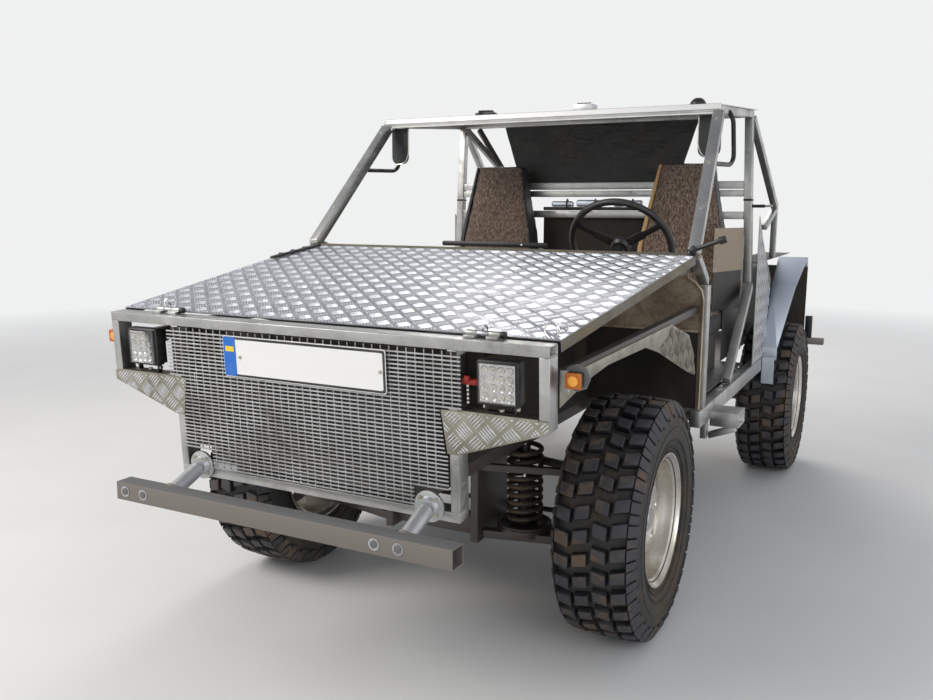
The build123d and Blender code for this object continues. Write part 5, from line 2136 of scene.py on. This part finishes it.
    def _small_parts(self) -> None:
        """Bolts on the pillars, the dash strip, clamps and the brackets behind the cab."""
        form = Form()
        foot, top = Vector((752, 1078, 1198)), Vector((709, 1535.5, 1662.5))
        out = Vector((0, -0.711, 0.700))
        for s in (-1, 1):
            for share in (0.25, 0.58, 0.93):
                at = foot.lerp(top, share) + out * 18.5
                a, b = (at.x * s, at.y, at.z), ((at + out * 3).x * s, (at + out * 3).y, (at + out * 3).z)
                form.rod(a, b, 5.5, BRASSY, 12, 0.8)
            form.box((s * 707 - 19, 2206, 1357), (s * 707 + 19, 2244, 1366), BLACK, 2)
            form.rod((s * 751.5, 1952, 757), (s * 753, 1952, 757), 12, BLACK, 20)
            form.box((s * 757, 2517, 500), (s * 812, 2520.5, 628), FENDER, 1)
        form.rod((722, 2225, 1335), (778, 2225, 1335), 7, BLACK, 12, 1)
        form.rod((776, 2225, 1335), (807, 2225, 1336), 5, BRASSY, 12, 1)
        form.box((-243, 1186, 1181), (188, 1212, 1199), BLACK, 5, 2)
        form.rod((92, 1186.5, 1191), (92, 1184.5, 1191), 3.5, WHITE, 12)
        form.rod((834, 1044, 1224), (856, 1044, 1232), 12, BLACK, 20, 3)
        form.rod((744, 1043, 1186), (762, 1043, 1202), 12, BLACK, 20, 3)
        form.finish("cab_small_parts")


@dataclass
class Panels:
    """Tread plate side panels, torn wing skirts and bent rear wings.

    Attributes:
        pattern: The raised bars.
    """

    pattern: TreadPattern = TreadPattern()

    def build(self) -> None:
        """Builds the panels with their bars."""
        form = Form()
        form.add_node("side_panels", TREAD_SIDE, 0.7)
        for s in (-1, 1):
            face = plate_frame(spot(s * 757.1, 0, 0), Vector((0, s, 0)), Vector(Z_AXIS))
            corners = [(2246, 627), (2540, 627), (2560, 690), (2652, 987), (2389, 1162), (2246, 1293)]
            outline = [(s * y, z) for y, z in (corners if s > 0 else reversed(corners))]
            form.stamp(self.pattern.bar(), self.pattern.places(outline, face, 0.5), TREAD)
        form.finish("tread_panels", "tread_plate", ("side_panels",))
        wings = Form()
        wings.add_node("front_wings", TREAD_SIDE, 0.7)
        outline = [(782, 900), (1100, 790), (1196, 762), (1170, 845), (1106, 912), (904, 970)]
        for s in (-1, 1):
            splay = Matrix.Rotation(-s * math.radians(2.36), 4, "Z")
            lean = Matrix.Translation(spot(s * 693.6, 62, 0)) @ splay @ Matrix.Translation(-spot(0, 62, 0))
            face = lean @ plate_frame(spot(s * 3.2, 0, 0), Vector((0, s, 0)), Vector(Z_AXIS))
            corners = [(s * y, z) for y, z in (outline if s > 0 else reversed(outline))]
            wings.stamp(self.pattern.bar(), self.pattern.places(corners, face, 2), TREAD_SIDE)
        wings.finish("wing_skirts", "olive_sheet", ("front_wings",))
        dress("rear_fenders", "rear_wings", FENDER, "fender_sheet", 0.8)


@dataclass
class RearSheet:
    """The dark canvas behind the roof, tied at its corners.

    Attributes:
        top: Height of its upper edge.
        low: Height of its lower edge.
        half: Half width at its top.
    """

    top: float = 1726.0
    low: float = 1424.0
    half: float = 478.0

    def build(self) -> None:
        """Builds the canvas as one creased sheet."""
        form = Form()
        bm = form.bm
        made = bmesh.ops.create_grid(bm, x_segments=64, y_segments=24, size=0.5)["verts"]
        for vert in made:
            u, v = vert.co.x + 0.5, vert.co.y + 0.5
            half = 382 + (self.half - 382) * v
            z = self.low + (self.top - self.low) * v
            sag = math.sin(math.pi * u) * (1 - v) * 6
            crease = 1.6 * math.sin(13 * u + 5 * v) * math.sin(math.pi * v)
            crease += 1.1 * math.sin(31 * u - 17 * v)
            vert.co = spot((2 * u - 1) * half, 2244 + crease, z - sag)
        bmesh.ops.recalc_face_normals(bm, faces=bm.faces)
        bmesh.ops.solidify(bm, geom=bm.faces[:], thickness=mm(1.2))
        form.paint(bm.faces[:], CANVAS)
        obj = form.finish("rear_canvas_sheet", "dark_cloth", ("rear_sheet",), smooth=60)


# Studio


@dataclass
class Studio:
    """A pale floor, soft lamps and the camera at the picture's angle."""

    def build(self) -> None:
        """Builds the floor, the world, the lamps and the camera."""
        self._floor()
        self._world()
        self._lamps()
        self._camera()

    def _floor(self) -> None:
        """A pale floor."""
        form = Form()
        bmesh.ops.create_grid(form.bm, x_segments=1, y_segments=1, size=30)
        floor = link("floor_plane", form.mesh("floor_plane"))
        floor.data.materials.append(self._floor_finish())

    def _world(self) -> None:
        """The backdrop for the camera, reflections and glass, and an even light for the vehicle."""
        world = bpy.data.worlds.new("studio")
        bpy.context.scene.world = world
        world.use_nodes = True
        n = Nodes(world.node_tree)
        output = n.node("ShaderNodeOutputWorld")
        light = n.node("ShaderNodeBackground")
        n.plug(light.inputs[0], (0.92, 0.94, 1.0))
        n.plug(light.inputs[1], 0.50)
        backdrop = n.node("ShaderNodeBackground")
        where = n.node("ShaderNodeTexCoord")
        rise = n.levels(n.split(where.outputs["Generated"])[2], 0.22, 0.85)
        n.plug(backdrop.inputs[0], n.mix(rise, BACKDROP, (0.34, 0.35, 0.38)))
        n.plug(backdrop.inputs[1], 1.0)
        n.blend(n.seen(), light.outputs[0], backdrop.outputs[0], output)

    def _floor_finish(self) -> bpy.types.Material:
        """A matt pale floor that runs into the backdrop's tone away from the vehicle.

        Returns:
            The material.
        """
        p = Palette("studio_floor")
        here = p.place()
        pale = p.mix(p.levels(p.noise(here, 1.5, 3), 0.3, 0.7), (0.74, 0.74, 0.73), (0.78, 0.78, 0.77))
        p.set(Base_Color=pale, Roughness=0.8)
        length = p.node("ShaderNodeVectorMath", operation="LENGTH")
        p.plug(length.inputs[0], here)
        far = p.levels(length.outputs["Value"], 4.2, 9.5)
        glow = p.node("ShaderNodeEmission")
        p.plug(glow.inputs["Color"], BACKDROP)
        p.blend(p.times(far, p.seen()), p.shader.outputs[0], glow.outputs[0], p.output)
        return p.material

    def _lamps(self) -> None:
        """A large key from the picture's left, a fill and a back lamp."""
        table = (
            ("key", (-3.6, -4.2, 4.4), (0.2, -0.6, 0.7), 3.0, 235.0, (1.0, 0.95, 0.88)),
            ("fill", (4.8, -3.4, 2.6), (0.2, -0.4, 0.6), 3.6, 85.0, (0.93, 0.96, 1.0)),
            ("back", (-1.5, 5.0, 4.0), (0, 0.4, 1.0), 3.0, 130.0, (1.0, 0.97, 0.93)),
        )
        for name, place, target, size, power, colour in table:
            data = bpy.data.lights.new(name, "AREA")
            data.shape = "SQUARE"
            data.size = size
            data.energy = power
            data.color = colour
            lamp = link(name, data)
            lamp.location = place
            lamp.rotation_euler = (Vector(target) - Vector(place)).to_track_quat("-Z", "Y").to_euler()

    def _camera(self) -> None:
        """The camera, from the picture's own perspective."""
        yaw, pitch, roll = (math.radians(angle) for angle in (27.57, 9.27, 0.18))
        focal_pixels, picture_wide, sensor = 877.97, 933, 36.0
        level = math.cos(pitch)
        ahead = Vector((-math.sin(yaw) * level, math.cos(yaw) * level, -math.sin(pitch)))
        right = Vector((math.cos(yaw), math.sin(yaw), 0))
        up = right.cross(ahead)
        right, up = (right * math.cos(roll) + up * math.sin(roll),
                     up * math.cos(roll) - right * math.sin(roll))
        data = bpy.data.cameras.new("camera")
        data.sensor_width = sensor
        data.lens = focal_pixels * sensor / picture_wide
        data.clip_end = 100
        camera = link("camera", data)
        turn = Matrix((right, up, -ahead)).transposed().to_4x4()
        turn.translation = spot(1416.19, -1783.99, 1328.45)
        camera.matrix_world = turn
        bpy.context.scene.camera = camera


def main() -> None:
    """Builds every sub-assembly in order."""
    logging.basicConfig(level=logging.INFO, format="%(name)s %(message)s")
    bpy.context.scene.view_settings.view_transform = "Standard"
    for part in (Studio, Bonnet, FrontFrame, Grille, Plate, Lamps, Bumper, Suspension, Cab, Panels,
                 RearSheet, SteeringWheel):
        part().build()
    for side in Side:
        Seat().build(side)
    corners = (("front", FRONT_TRACK, FRONT_AXLE), ("rear", REAR_TRACK, REAR_AXLE))
    tyre = Tyre()
    for end, x, y in corners:
        for side in Side:
            name = f"{end}_{side.name.lower()}"
            tyre.build(name, side.value * x, y, side is Side.RIGHT)
            Wheel().build(name, side.value * x, y, side.value)


if __name__ == "__main__":
    main()
